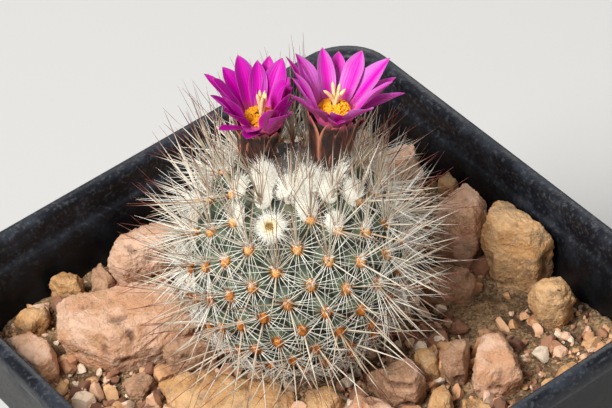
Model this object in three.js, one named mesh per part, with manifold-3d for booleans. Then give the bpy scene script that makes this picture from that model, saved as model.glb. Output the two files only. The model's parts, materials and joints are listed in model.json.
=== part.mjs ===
// Potted cactus in flower: a globular spined stem with two magenta flowers, in a square plastic pot
// filled with soil and dressed with broken limestone. Millimetres, +Z up, origin under the pot's centre.
import * as THREE from 'three';
import { ConvexGeometry } from 'three/addons/geometries/ConvexGeometry.js';
import { ConvexHull } from 'three/addons/math/ConvexHull.js';
import { mergeVertices } from 'three/addons/utils/BufferGeometryUtils.js';
import Module from 'manifold-3d';

// Pot
const POT_HEIGHT = 88;
const RIM_HALF = 45; // half the width across the rim
const RIM_LIP = 2.8; // width of the lip's top
const RIM_DEPTH = 4; // height of the lip's outer band
const CORNER = 9.5; // corner radius at the rim
const LEDGE_DROP = 5.7; // step inside the pot, below the rim
const COLLAR_FOOT = 70; // height where the thicker collar ends
const WALL = 1.4;
const FLOOR = 3;
const FLOOR_HALF = 31; // half the width of the floor inside
const HOLE_RADIUS = 4; // drainage holes
const HOLE_AT = 15;

// Soil and the gap that neighbours keep
const SOIL_TOP = 73;
const GAP = 0.35;
const SLIVER = 0.01;

// Stem: an upright ellipsoid that leans a little, covered with tubercles on a spiral
const STEM_CENTRE = [0.56, 2, 93.1];
const STEM_RADIUS = 17.9; // out to the tubercle tips
const STEM_HALF_HEIGHT = 19.9;
const STEM_LEAN = [0.062, 0.094]; // radians about X and Y
const SPIRAL_START = 2.251; // azimuth of the youngest areole
const SPIRAL_OFFSET = 0.56;
const GOLDEN_ANGLE = 2.39996;
const YOUNG_CELL = 13.9; // area per areole at the crown, mm2
const OLD_CELL = 26.5; // area per areole from GROWN_ARC on
const GROWN_ARC = 13.7;
const LAST_AREOLE = 0.81 * Math.PI; // polar angle of the lowest areole
const TUBERCLE = 2.2; // valley depth below the tips
const PAD_RADIUS = 0.85; // areole
const PAD_RISE = 0.45;
const PAD_FACETS = 12;
const CROWN_SITES = 15; // young areoles under the wool, without spines
const CROWN_DEPTH = 1.6;
const WOOL_RADIUS = 7.4;
const WOOL_SIDE = 4.16; // azimuth of the side where the wool stands up in tufts
const FLOWER_ROOM = 5; // bare ground round a flower's base
const BUD_SITE = 21;

// Flowers: base on the crown, direction of the axis, length of the tube, turn of its scales, lean of
// the stigma lobes, and each tepal's azimuth, lean from the axis, length, half width and whorl
const FLOWERS = [
  { name: 'left', base: [-1.3, 6.7, 111.3], axis: [0.234, -0.041, 1], tube: 7.4, turn: 0.3, lobes: 0.1,
    tepals: [
      [0.57, 0.5, 9.1, 1.8, 0],
      [1.1, 0.45, 8.2, 1.5, 0],
      [1.51, 0.5, 9.4, 1.8, 0],
      [1.88, 0.6, 8.6, 1.7, 0],
      [2.46, 0.55, 9.2, 1.6, 0],
      [3.08, 0.53, 9.8, 1.6, 0],
      [3.31, 0.71, 9.0, 1.5, 0],
      [3.8, 0.9, 8.4, 1.5, 0],
      [4.9, 0.2, 8.6, 1.5, 0],
      [5.6, 0.0, 7.6, 1.4, 0],
      [6.15, 0.05, 7.4, 1.4, 0],
      [0.84, 0.6, 8.8, 1.4, 1],
      [2.11, 0.8, 9.0, 1.2, 1],
      [3.41, 1.0, 9.0, 1.0, 1],
      [3.84, 0.98, 9.0, 1.3, 1],
      [4.26, 0.4, 8.5, 1.4, 1],
      [4.5, 0.54, 9.0, 1.4, 1],
    ] },
  { name: 'right', base: [6.2, -2.2, 110.9], axis: [0.323, 0.104, 1], tube: 9.4, turn: 0.84, lobes: 0.5,
    tepals: [
      [0.44, 0.5, 9.6, 1.7, 0],
      [1.27, 0.45, 9.3, 1.5, 0],
      [1.93, 0.5, 9.5, 1.8, 0],
      [2.42, 0.3, 8.6, 1.5, 0],
      [2.94, 0.46, 10.0, 1.4, 0],
      [4.15, 0.9, 8.4, 1.4, 0],
      [4.65, 0.83, 9.0, 1.4, 0],
      [5.45, 0.6, 9.2, 1.7, 0],
      [6.18, 0.6, 10.6, 1.9, 0],
      [0.9, 0.65, 8.9, 1.5, 1],
      [1.6, 0.8, 8.8, 1.3, 1],
      [2.11, 0.55, 9.6, 0.9, 1],
      [3.23, 0.77, 9.5, 1.2, 1],
      [3.65, 0.83, 8.0, 1.4, 1],
      [4.08, 1.04, 9.0, 1.3, 1],
      [5.9, 1.1, 8.8, 1.2, 1],
      [6.07, 0.85, 8.8, 1.5, 1],
    ] },
];
const TEPAL_CURL = 0.2; // how much further a tepal leans at its tip
const TUBE_RADII = [2.2, 3.5]; // at the base and at the throat
const CUP_RADII = [1.7, 3.2]; // bottom and rim of the throat
const CUP_DEPTH = 3.2;
const SCALES = 6; // leafy scales on a flower's tube
const SCALE_LENGTH = 6.2;
const SHORT_SCALE = 2.6; // the scales that face the other flower
const SCALE_HALF = 1.15; // half a scale's width
const STYLE_LENGTH = 5.1;
const LOBE_LENGTH = 3; // a lobe of the stigma
const STAMEN_FOOT = 1.95; // above the bottom of the throat
const STAMEN_KNOBS = 14;

const round = Math.PI * 2;
const wasm = await Module();
wasm.setup();

// Seeded random numbers from 0 to 1
function dice(seed) {
  let state = seed >>> 0;
  return () => {
    state = (Math.imul(state, 1664525) + 1013904223) >>> 0;
    return state / 4294967296;
  };
}

// Closed solid from corner points and triangles
function solidOf(points, faces) {
  const vertProperties = new Float32Array(points.flat());
  const triVerts = new Uint32Array(faces.flat());
  return new wasm.Manifold(new wasm.Mesh({ numProp: 3, vertProperties, triVerts }));
}

function solidOfGeometry(geometry, matrix) {
  const bare = geometry.clone();
  if (matrix) bare.applyMatrix4(matrix);
  bare.deleteAttribute('normal');
  bare.deleteAttribute('uv');
  const merged = mergeVertices(bare, 1e-3);
  const triVerts = new Uint32Array(merged.index.array);
  const vertProperties = new Float32Array(merged.attributes.position.array);
  return new wasm.Manifold(new wasm.Mesh({ numProp: 3, vertProperties, triVerts }));
}

function geometryOf(solid) {
  const mesh = solid.getMesh();
  const geometry = new THREE.BufferGeometry();
  const xyz = new Float32Array((mesh.vertProperties.length / mesh.numProp) * 3);
  for (let i = 0; i < xyz.length / 3; i += 1) {
    for (let k = 0; k < 3; k += 1) xyz[3 * i + k] = mesh.vertProperties[i * mesh.numProp + k];
  }
  geometry.setAttribute('position', new THREE.BufferAttribute(xyz, 3));
  geometry.setIndex(new THREE.BufferAttribute(new Uint32Array(mesh.triVerts), 1));
  return geometry;
}

// Largest piece of a solid, without the loose scraps that a cut can leave
function mainPiece(solid) {
  return solid.decompose().reduce((a, b) => (a.volume() > b.volume() ? a : b));
}

const potted = new THREE.Group();

// Slivers that cuts leave are merged away before the mesh is kept
function addPart(name, solid, material) {
  const clean = mainPiece(solidOfGeometry(geometryOf(solid.simplify(SLIVER)).toNonIndexed()));
  const mesh = new THREE.Mesh(geometryOf(clean), material);
  mesh.name = name;
  potted.add(mesh);
}

const blackPlastic = new THREE.MeshStandardMaterial({ color: 0x1b1d22, roughness: 0.5, metalness: 0 });
const soilGrit = new THREE.MeshStandardMaterial({ color: 0x8a7458, roughness: 0.95, metalness: 0 });
const pinkStone = new THREE.MeshStandardMaterial({ color: 0xcf9f80, roughness: 0.9, metalness: 0 });
const ochreStone = new THREE.MeshStandardMaterial({ color: 0xc89c62, roughness: 0.9, metalness: 0 });
const brownStone = new THREE.MeshStandardMaterial({ color: 0x8f6650, roughness: 0.9, metalness: 0 });
const greenStem = new THREE.MeshStandardMaterial({ color: 0x7f9078, roughness: 0.7, metalness: 0 });
const whiteWool = new THREE.MeshStandardMaterial({ color: 0xf4efe2, roughness: 1, metalness: 0 });
const budSkin = new THREE.MeshStandardMaterial({ color: 0xd9c48e, roughness: 0.9, metalness: 0 });
const maroonTube = new THREE.MeshStandardMaterial({ color: 0x6b3840, roughness: 0.7, metalness: 0 });
const magentaTepal = new THREE.MeshStandardMaterial({ color: 0xe05ac8, roughness: 0.6, metalness: 0 });
const yellowAnther = new THREE.MeshStandardMaterial({ color: 0xffb300, roughness: 0.8, metalness: 0 });
const creamStigma = new THREE.MeshStandardMaterial({ color: 0xf6e79a, roughness: 0.7, metalness: 0 });

// Rounded square ring, counter-clockwise from above
function squareRing(half, z, steps = 3) {
  const radius = CORNER - 0.27 * (RIM_HALF - half);
  const ring = [];
  for (let corner = 0; corner < 4; corner += 1) {
    const middle = Math.PI / 4 + (corner * Math.PI) / 2;
    const cx = Math.sign(Math.cos(middle)) * (half - radius);
    const cy = Math.sign(Math.sin(middle)) * (half - radius);
    for (let i = 0; i <= steps; i += 1) {
      const a = (corner * Math.PI) / 2 + (i / steps) * (Math.PI / 2);
      ring.push([cx + radius * Math.cos(a), cy + radius * Math.sin(a), z]);
    }
  }
  return ring;
}

// Skin through a list of rings of equal length, closed by a point at each end
function loftRings(rings, first, last) {
  const count = rings[0].length;
  const points = [first, ...rings.flat(), last];
  const end = points.length - 1;
  const faces = [];
  for (let i = 0; i < count; i += 1) {
    const j = (i + 1) % count;
    faces.push([0, 1 + j, 1 + i]);
    for (let r = 0; r + 1 < rings.length; r += 1) {
      const a = 1 + r * count;
      const b = a + count;
      faces.push([a + i, a + j, b + j], [a + i, b + j, b + i]);
    }
    faces.push([end - count + i, end - count + j, end]);
  }
  return solidOf(points, faces);
}

const innerHalf = (z) => {
  const ledgeHalf = RIM_HALF - RIM_LIP - 1;
  return FLOOR_HALF + ((z - FLOOR) * (ledgeHalf - FLOOR_HALF)) / (POT_HEIGHT - LEDGE_DROP - FLOOR);
};

function buildPot() {
  const lipInner = RIM_HALF - RIM_LIP;
  const ledge = POT_HEIGHT - LEDGE_DROP;
  const profile = [
    [23.4, 1.2],
    [24, 0],
    [innerHalf(0) + WALL - 0.8, 0],
    [innerHalf(0) + WALL, 0.8],
    [innerHalf(COLLAR_FOOT) + WALL, COLLAR_FOOT - 1.2],
    [RIM_HALF - 1.6, COLLAR_FOOT],
    [RIM_HALF - 1.4, POT_HEIGHT - RIM_DEPTH],
    [RIM_HALF, POT_HEIGHT - RIM_DEPTH + 0.4],
    [RIM_HALF, POT_HEIGHT - 1.1],
    [RIM_HALF - 0.7, POT_HEIGHT - 0.2],
    [RIM_HALF - 1.4, POT_HEIGHT],
    [lipInner + 0.5, POT_HEIGHT - 0.3],
    [lipInner, POT_HEIGHT - 1],
    [lipInner, ledge + 0.4],
    [innerHalf(ledge), ledge],
    [FLOOR_HALF, FLOOR],
  ];
  const rings = profile.map(([half, z]) => squareRing(half, z));
  let pot = loftRings(rings, [0, 0, profile[0][1]], [0, 0, FLOOR]);
  const drill = new THREE.CylinderGeometry(HOLE_RADIUS, HOLE_RADIUS, 10, 12).rotateX(Math.PI / 2);
  const spots = [[0, 0], [1, 1], [1, -1], [-1, 1], [-1, -1]];
  for (const [x, y] of spots) {
    const matrix = new THREE.Matrix4().makeTranslation(x * HOLE_AT, y * HOLE_AT, 0);
    pot = pot.subtract(solidOfGeometry(drill, matrix));
  }
  return pot;
}

// Stones: outline in plan, base and top heights. The mid height has the outline itself, the top and
// the base are drawn in, and a seeded shake makes the facets of a broken stone.
const STONES = [
  { name: 'left_slab', z: [71, 81], stone: pinkStone,
    outline: [[-26.6, 33.2], [-14.6, 28.1], [-9.5, 21.6], [-11.8, 14], [-19, 14.2],
      [-27.2, 17.5], [-31.6, 26]] },
  { name: 'far_left_slab', z: [71.5, 83], stone: pinkStone,
    outline: [[-12.8, 37.2], [-5.1, 35.8], [-2.5, 30.5], [-8.4, 28], [-14.8, 31], [-15.6, 34.5]] },
  { name: 'far_left_chip', z: [71.5, 77.5], stone: brownStone,
    outline: [[-20, 34.4], [-17.4, 38], [-15.4, 38.2], [-16.2, 33.5], [-18, 32.4]] },
  { name: 'left_flake', z: [72, 79], stone: ochreStone,
    outline: [[-25.4, 39], [-21.8, 39.2], [-20.4, 36.2], [-22, 34.6], [-24.8, 36.6]] },
  { name: 'left_corner_chip', z: [71.5, 78], stone: ochreStone,
    outline: [[-34, 36.6], [-30.6, 37], [-28.3, 35], [-29.6, 33], [-33, 33.6]] },
  { name: 'left_corner_stone', z: [71, 78.5], stone: pinkStone,
    outline: [[-38, 33], [-33.8, 32], [-32.4, 27.4], [-34.6, 22.6], [-37.8, 22.8], [-39, 28]] },
  { name: 'crusty_lump', z: [71.5, 79.6], stone: brownStone,
    outline: [[-21, 12.6], [-16.8, 12.2], [-13.6, 8.6], [-14, 6.4], [-18, 9.4], [-20.6, 10.6]] },
  { name: 'front_slab', z: [69.5, 77], stone: ochreStone,
    outline: [[-23.6, 9.4], [-20.6, 8.8], [-16.2, 5], [-11, -2.8], [-9, -7.2], [-11.5, -10],
      [-17, -7.4], [-25.3, 2]] },
  { name: 'front_wedge', z: [70, 77], stone: ochreStone,
    outline: [[-7.8, -8.4], [-4, -10.8], [-4.4, -14.6], [-8, -15.8], [-10.6, -12.8]] },
  { name: 'front_pale_stone', z: [70, 77.5], stone: pinkStone,
    outline: [[-6, -16.4], [-2.7, -15.2], [0.2, -18.6], [0.4, -23], [-2.9, -23.6], [-7.3, -19]] },
  { name: 'front_brown_stone', z: [70.5, 79], stone: brownStone,
    outline: [[1.2, -13.4], [6.8, -14.1], [8.6, -16.3], [7.6, -20.6], [4.6, -22], [1.6, -18.6]] },
  { name: 'front_olive_stone', z: [70.5, 77.5], stone: ochreStone,
    outline: [[11.2, -13.6], [14.4, -14.8], [13.4, -17.2], [11, -19.6], [9.4, -18.6], [9.3, -15.4]] },
  { name: 'front_ochre_block', z: [70.5, 77.2], stone: ochreStone,
    outline: [[6.6, -22.9], [9.6, -22.6], [9.2, -25.6], [7.6, -27.4], [5.2, -26.8], [4.4, -24.6]] },
  { name: 'front_ochre_slab', z: [70, 76], stone: ochreStone,
    outline: [[10.2, -26.4], [12.8, -28.6], [12.8, -31.6], [9.6, -31.6], [8.2, -28.8]] },
  { name: 'front_shard', z: [70.5, 79.3], stone: brownStone,
    outline: [[12, -19.4], [15.2, -18], [18.6, -18.2], [16.4, -21], [13, -23.6], [11.2, -22.2]] },
  { name: 'front_polygon_stone', z: [70.5, 78.8], stone: pinkStone,
    outline: [[16.6, -22], [20.4, -19.6], [22.8, -21.5], [22, -26], [19.6, -30], [15.8, -29.2],
      [13, -26.4], [13.6, -24.8]] },
  { name: 'right_brown_stone', z: [70.5, 79], stone: brownStone,
    outline: [[21.8, -2], [26, -3.2], [28.4, -7.6], [26, -9.2], [21.6, -7], [19.8, -4]] },
  { name: 'right_slab', z: [70.5, 86], stone: pinkStone,
    outline: [[29.8, 4], [37, 4], [37.9, 0.4], [35.6, -2.4], [31.6, -4.6], [28.6, -2.8], [27, 1.6]] },
  { name: 'right_block', z: [70, 86.5], stone: ochreStone,
    outline: [[36.4, -2.6], [39.6, -3], [40.4, -9], [39.8, -14.4], [35.6, -14.6],
      [31.6, -9.6], [32.4, -5.4]] },
  { name: 'right_ochre_stone', z: [71, 81.5], stone: ochreStone,
    outline: [[31.4, -18], [34.4, -17.6], [36.8, -20], [36.2, -23.6], [33.4, -24], [30.8, -21.6]] },
  { name: 'right_wall_pebble', z: [71.6, 79.8], stone: ochreStone,
    outline: [[37.4, 13], [39.6, 12.6], [39.8, 9.8], [37.8, 9], [36.6, 11]] },
  { name: 'far_right_stone', z: [71, 81], stone: pinkStone,
    outline: [[34.4, 23.6], [37.6, 23.8], [39, 20.4], [38, 17.6], [34.6, 18.4], [33.2, 21]] },
  { name: 'left_dark_chip', z: [71, 76], stone: brownStone,
    outline: [[-27.6, 13.6], [-24, 12.8], [-23.4, 10.6], [-26.8, 9.4], [-28.8, 11.4]] },
  { name: 'left_grey_chip', z: [71.4, 75.6], stone: brownStone,
    outline: [[-29.6, 7.4], [-27, 7.2], [-26.6, 4.4], [-29, 3.6], [-30.6, 5.4]] },
];

// Stones outside the photo's view, each a ring of corners round its centre: x, y, radius, top
const UNSEEN = [
  ['back', [[4, 33, 5.6, 79], [14.5, 28, 5.2, 78], [25, 35, 5, 79.5], [24, 24, 4.4, 78],
    [35, 32.5, 3.4, 77.5]]],
  ['near', [[-34, -6, 4.8, 78], [-33, -18, 5.4, 79], [-22, -18, 4.6, 77.5], [-14, -26, 6, 79],
    [-29, -32, 6, 79.5], [-3, -34, 5.4, 78], [26, -35.5, 3.2, 77]]],
];

function unseenStones() {
  const kinds = [pinkStone, ochreStone, brownStone];
  const roll = dice(41);
  return UNSEEN.flatMap(([side, list]) => list.map(([x, y, radius, top], n) => {
    const sides = 6 + Math.floor(roll() * 2);
    const start = roll() * round;
    const outline = Array.from({ length: sides }, (_, i) => {
      const a = start + ((i + 0.5 * (roll() - 0.5)) / sides) * round;
      const r = radius * (0.86 + 0.28 * roll());
      return [x + r * Math.cos(a), y + r * Math.sin(a)];
    });
    return { name: `${side}_stone_${n + 1}`, z: [70.5, top], outline, stone: kinds[(n + 1) % 3] };
  }));
}

// Corners of a stone in three layers: base, shoulder and top
function stoneCorners({ outline, z: [foot, top] }, seed) {
  const roll = dice(seed);
  const cx = outline.reduce((s, p) => s + p[0], 0) / outline.length;
  const cy = outline.reduce((s, p) => s + p[1], 0) / outline.length;
  const layers = [[0.84, foot], [1, foot + 0.72 * (top - foot)], [0.76, top]];
  return layers.flatMap(([scale, z]) => outline.map(([x, y]) => new THREE.Vector3(
    cx + (x - cx) * scale * (1 + 0.1 * roll()),
    cy + (y - cy) * scale * (1 + 0.1 * roll()),
    z - (top - foot) * 0.16 * roll(),
  )));
}

function hullSolid(corners) {
  return solidOfGeometry(new ConvexGeometry(corners));
}

// Corners drawn out by a margin on every side
function drawnOut(corners, margin) {
  const box = new THREE.Box3().setFromPoints(corners);
  const middle = box.getCenter(new THREE.Vector3());
  const half = box.getSize(new THREE.Vector3()).multiplyScalar(0.5);
  const grow = new THREE.Vector3(1 + margin / half.x, 1 + margin / half.y, 1 + margin / half.z);
  return corners.map((p) => p.clone().sub(middle).multiply(grow).add(middle));
}

// Stem frame: from the ellipsoid's own axes to the pot's
const stemFrame = new THREE.Matrix4().makeTranslation(...STEM_CENTRE)
  .multiply(new THREE.Matrix4().makeRotationX(STEM_LEAN[0]))
  .multiply(new THREE.Matrix4().makeRotationY(STEM_LEAN[1]));

// Point of the stem at a polar angle and azimuth, at a depth below the tubercle tips
function stemPoint(polar, azimuth, depth) {
  const flat = STEM_RADIUS * Math.sin(polar);
  const height = STEM_HALF_HEIGHT * Math.cos(polar);
  const normal = new THREE.Vector2(flat / STEM_RADIUS ** 2, height / STEM_HALF_HEIGHT ** 2).normalize();
  const r = flat - depth * normal.x;
  return new THREE.Vector3(r * Math.cos(azimuth), r * Math.sin(azimuth), height - depth * normal.y);
}

// Areoles on the golden spiral, spaced by the area that each takes up, then the root neck's corners
function stemSites() {
  const steps = 2000;
  const sites = [];
  let arc = 0;
  let count = 0;
  let before = stemPoint(0, 0, 0);
  for (let i = 1; i <= steps; i += 1) {
    const polar = (LAST_AREOLE * i) / steps;
    const here = stemPoint(polar, 0, 0);
    const ds = here.distanceTo(before);
    arc += ds;
    const cell = YOUNG_CELL + (OLD_CELL - YOUNG_CELL) * Math.min(arc / GROWN_ARC, 1);
    count += (round * here.x * ds) / cell;
    before = here;
    if (count < sites.length + SPIRAL_OFFSET) continue;
    const azimuth = SPIRAL_START + (sites.length + SPIRAL_OFFSET) * GOLDEN_ANGLE;
    const crown = sites.length < CROWN_SITES;
    sites.push({ polar, azimuth, areole: !crown, depth: crown ? CROWN_DEPTH : 0 });
  }
  const neck = [[8, 0.885, 6.3, -18.6], [7, 0.93, 5.4, -22.5], [6, 0.965, 4, -26.5]];
  for (const [corners, share, radius, z] of neck) {
    for (let i = 0; i < corners; i += 1) {
      const azimuth = ((i + share * 5) / corners) * round;
      const at = new THREE.Vector3(radius * Math.cos(azimuth), radius * Math.sin(azimuth), z);
      sites.push({ polar: share * Math.PI, azimuth, at, areole: false, depth: 0 });
    }
  }
  sites.push({ polar: Math.PI, azimuth: 0, at: new THREE.Vector3(0, 0, -27), areole: false, depth: 0 });
  return sites;
}

// Flower frame: origin at the base, Z along the axis
function flowerFrame({ base, axis }) {
  const along = new THREE.Vector3(...axis).normalize();
  const turn = new THREE.Quaternion().setFromUnitVectors(new THREE.Vector3(0, 0, 1), along);
  return new THREE.Matrix4().makeRotationFromQuaternion(turn).setPosition(...base);
}

// How far out a flower's tepal starts from the axis
const tepalRoot = (outer) => CUP_RADII[1] - 0.65 + 0.45 * outer;

// Middle points of a flower's tepals, in the pot's frame
function tepalMiddles({ tube, tepals }, frame) {
  return tepals.flatMap(([azimuth, lean, length, , outer]) => {
    return [0.15, 0.35, 0.55, 0.75, 0.95].map((share) => {
      const tilt = lean + 0.6 * TEPAL_CURL * share;
      const r = tepalRoot(outer) + share * length * Math.sin(tilt);
      const z = tube + share * length * Math.cos(tilt);
      return new THREE.Vector3(r * Math.cos(azimuth), r * Math.sin(azimuth), z).applyMatrix4(frame);
    });
  });
}

// Shortest distance between segments a-b and c-d, and how far along each it lies
function segmentGap(a, b, c, d) {
  const u = b.clone().sub(a);
  const v = d.clone().sub(c);
  const w = a.clone().sub(c);
  const uu = u.dot(u);
  const uv = u.dot(v);
  const vv = v.dot(v);
  const uw = u.dot(w);
  const vw = v.dot(w);
  const clamp = (x) => Math.min(1, Math.max(0, x));
  let s = clamp((uv * vw - vv * uw) / Math.max(uu * vv - uv * uv, 1e-9));
  const t = clamp((uv * s + vw) / vv);
  s = clamp((uv * t - uw) / uu);
  return { s, t, gap: w.addScaledVector(u, s).addScaledVector(v, -t).length() };
}

const SPINE_ROOT = 0.32; // half the width of a spine at its root
const spineRadius = (share) => SPINE_ROOT * (1 - share) + 0.03;
const TUBE_ROOM = 5; // how far spines stay from a flower tube's axis
const TEPAL_REACH = 8; // how far above its tube a flower keeps that room
const TEPAL_ROOM = 2.7; // how far spines stay from the middle of a tepal
const BUD_ROOM = 2.3;
const SOIL_ROOM = 2.6;
const WOOL_HEIGHT = 2.4; // how high the wool stands above the stem's top
const STONE_ROOM = 0.4;

// What spines keep clear of: soil, stones, flowers and wool
function clearOf(hulls, frames, bud) {
  const inward = stemFrame.clone().invert();
  const local = frames.map((frame) => frame.clone().invert());
  const middles = FLOWERS.flatMap((flower, i) => tepalMiddles(flower, frames[i]));
  return (root, tip) => {
    for (let i = 1; i <= 12; i += 1) {
      const p = root.clone().lerp(tip, i / 12);
      const q = p.clone().applyMatrix4(inward);
      const flat = Math.hypot(q.x, q.y);
      const skin = Math.hypot(flat / STEM_RADIUS, q.z / STEM_HALF_HEIGHT);
      const inWool = flat < WOOL_RADIUS + 0.6 && q.z < STEM_HALF_HEIGHT + WOOL_HEIGHT && q.z > 12;
      if (i > 4 && skin < 1.02) return false;
      if (p.z < SOIL_TOP + SOIL_ROOM) return false;
      if (inWool || p.distanceTo(bud) < BUD_ROOM) return false;
      if (hulls.some((planes) => planes.every((plane) => plane.distanceToPoint(p) < STONE_ROOM))) return false;
      if (middles.some((middle) => middle.distanceTo(p) < TEPAL_ROOM)) return false;
      for (const [n, matrix] of local.entries()) {
        const f = p.clone().applyMatrix4(matrix);
        const beside = f.z > -2 && f.z < FLOWERS[n].tube + TEPAL_REACH;
        if (beside && Math.hypot(f.x, f.y) < TUBE_ROOM) return false;
      }
    }
    return true;
  };
}

// Spines of one areole: radials spread over the surface, two centrals that stand out from it.
// A spine that would touch something is drawn again a little steeper.
function spineTip(centre, out, down, side, facet, roll, free, done) {
  const central = facet === 0 || facet === 6;
  const angle = ((facet + 0.5) / PAD_FACETS) * round;
  for (let attempt = 0; attempt < 14; attempt += 1) {
    const steep = central ? 0.95 + 0.3 * roll() - 0.03 * attempt : 0.24 + 0.26 * roll() + 0.03 * attempt;
    const swing = angle + (roll() - 0.5) * (central ? 0.5 : 0.16);
    const length = central ? 9.5 + 5.5 * roll() : 4.6 + 1.4 * roll();
    const reach = attempt < 9 ? length : length * 0.7;
    const tip = centre.clone()
      .addScaledVector(out, reach * Math.sin(steep))
      .addScaledVector(down, reach * Math.cos(steep) * Math.cos(swing))
      .addScaledVector(side, reach * Math.cos(steep) * Math.sin(swing));
    if (!free(centre, tip)) continue;
    const near = done.filter((other) => other.centre !== centre && other.middle.distanceTo(tip) < 16);
    const crosses = near.some((other) => {
      const { s, t, gap } = segmentGap(centre, tip, other.centre, other.tip);
      return gap < spineRadius(s) + spineRadius(t) + 0.05;
    });
    if (!crosses) return tip;
  }
  return null;
}

// Stem: each site owns the polygon of valley points round it. An areole's polygon rises to a pad,
// and every facet of the pad is drawn out into a three-sided spine.
function buildStem(free, frames) {
  const sites = stemSites();
  for (const site of sites) {
    const skin = stemPoint(site.polar, site.azimuth, 0).applyMatrix4(stemFrame);
    const out = stemPoint(site.polar, site.azimuth, -1).applyMatrix4(stemFrame);
    site.out = out.sub(skin).normalize();
    const underFlower = frames.some((frame) => {
      return new THREE.Vector3().setFromMatrixPosition(frame).distanceTo(skin) < FLOWER_ROOM;
    });
    if (underFlower) Object.assign(site, { areole: false, depth: CROWN_DEPTH });
    const at = site.at ? site.at.clone() : stemPoint(site.polar, site.azimuth, site.depth);
    site.centre = at.applyMatrix4(stemFrame);
  }
  const directions = sites.map(({ polar, azimuth }) => {
    return new THREE.Vector3().setFromSphericalCoords(1, polar, azimuth);
  });
  const hull = new ConvexHull().setFromPoints(directions);
  const numberOf = new Map(directions.map((p, i) => [p, i]));
  const points = [];
  const rings = sites.map(() => []);
  for (const face of hull.faces) {
    const edges = [face.edge, face.edge.next, face.edge.prev];
    const owners = edges.map((edge) => numberOf.get(edge.head().point));
    const valley = new THREE.Vector3();
    let depth = 0;
    for (const owner of owners) {
      valley.addScaledVector(sites[owner].centre, 1 / 3);
      depth += (sites[owner].areole ? TUBERCLE : 0.2) / 3;
    }
    const out = owners.reduce((sum, owner) => sum.add(sites[owner].out), new THREE.Vector3()).normalize();
    valley.addScaledVector(out, -depth);
    points.push(valley.toArray());
    for (const owner of owners) rings[owner].push(points.length - 1);
  }
  const roll = dice(7);
  const faces = [];
  const done = [];
  sites.forEach((site, n) => {
    const { centre, out } = site;
    const down = new THREE.Vector3(0, 0, -1).addScaledVector(out, out.z);
    if (down.length() < 1e-3) down.set(1, 0, 0);
    down.normalize();
    const side = new THREE.Vector3().crossVectors(out, down);
    const bearing = (p) => {
      const d = new THREE.Vector3(...p).sub(centre);
      return Math.atan2(d.dot(side), d.dot(down));
    };
    const valley = rings[n].map((v) => [bearing(points[v]), v]).sort((a, b) => a[0] - b[0]);
    points.push(centre.toArray());
    const hub = points.length - 1;
    if (!site.areole) {
      valley.forEach(([, v], i) => faces.push([hub, v, valley[(i + 1) % valley.length][1]]));
      return;
    }
    const pad = [];
    for (let i = 0; i < PAD_FACETS; i += 1) {
      const a = (i / PAD_FACETS) * round - Math.PI;
      const p = centre.clone().addScaledVector(out, -PAD_RISE)
        .addScaledVector(down, PAD_RADIUS * Math.cos(a)).addScaledVector(side, PAD_RADIUS * Math.sin(a));
      points.push(p.toArray());
      pad.push([a, points.length - 1]);
    }
    for (let i = 0; i < PAD_FACETS; i += 1) {
      const a = pad[i][1];
      const b = pad[(i + 1) % PAD_FACETS][1];
      const facet = (i + PAD_FACETS / 2) % PAD_FACETS;
      const tip = n === BUD_SITE ? null : spineTip(centre, out, down, side, facet, roll, free, done);
      if (!tip) {
        faces.push([hub, a, b]);
        continue;
      }
      done.push({ centre, tip, middle: centre.clone().lerp(tip, 0.5) });
      points.push(tip.toArray());
      const end = points.length - 1;
      faces.push([hub, a, end], [a, b, end], [b, hub, end]);
    }
    let i = 0;
    let j = 0;
    while (i < pad.length || j < valley.length) {
      const a = pad[i % pad.length][1];
      const v = valley[j % valley.length][1];
      const padNext = i < pad.length ? pad[i][0] + round / PAD_FACETS : Infinity;
      const lap = j + 1 === valley.length ? round : 0;
      const valleyNext = j < valley.length ? valley[(j + 1) % valley.length][0] + lap : Infinity;
      if (padNext < valleyNext) {
        faces.push([a, v, pad[(i + 1) % pad.length][1]]);
        i += 1;
      } else {
        faces.push([a, v, valley[(j + 1) % valley.length][1]]);
        j += 1;
      }
    }
  });
  return { solid: solidOf(points, faces), sites };
}

// Wool: a lumpy cushion over the crown, with a tuft on each young areole
function buildWool(sites, frames) {
  const tufts = sites.slice(3, CROWN_SITES).filter((site) => Math.cos(site.azimuth - WOOL_SIDE) > -0.1);
  const turns = 18;
  const height = (polar, azimuth) => {
    const here = stemPoint(polar, azimuth, 0);
    const lift = tufts.reduce((sum, tuft) => {
      const d = here.distanceTo(stemPoint(tuft.polar, tuft.azimuth, 0));
      return Math.max(sum, 2.2 * Math.exp(-((d / 1.7) ** 2)));
    }, 0);
    return -0.5 + lift;
  };
  const edge = WOOL_RADIUS / STEM_RADIUS;
  const ring = (share, lift) => Array.from({ length: turns }, (_, i) => {
    const azimuth = (i / turns) * round;
    const depth = lift ? -height(share * edge, azimuth) : CROWN_DEPTH - GAP;
    return stemPoint(share * edge, azimuth, depth).toArray();
  });
  const foot = [0.5, 1].map((share) => ring(share, false));
  const rings = [...foot, ...[1, 0.85, 0.62, 0.35].map((share) => ring(share, true))];
  const low = stemPoint(0, 0, CROWN_DEPTH - GAP).toArray();
  const high = stemPoint(0, 0, -height(0, 0)).toArray();
  let wool = loftRings(rings, low, high).transform(stemFrame.toArray());
  for (const frame of frames) {
    const hole = new THREE.CylinderGeometry(TUBE_RADII[1] + GAP, TUBE_RADII[0] + GAP, 12, 12);
    hole.rotateX(Math.PI / 2);
    wool = wool.subtract(solidOfGeometry(hole.translate(0, 0, 4), frame));
  }
  return mainPiece(wool);
}

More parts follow.
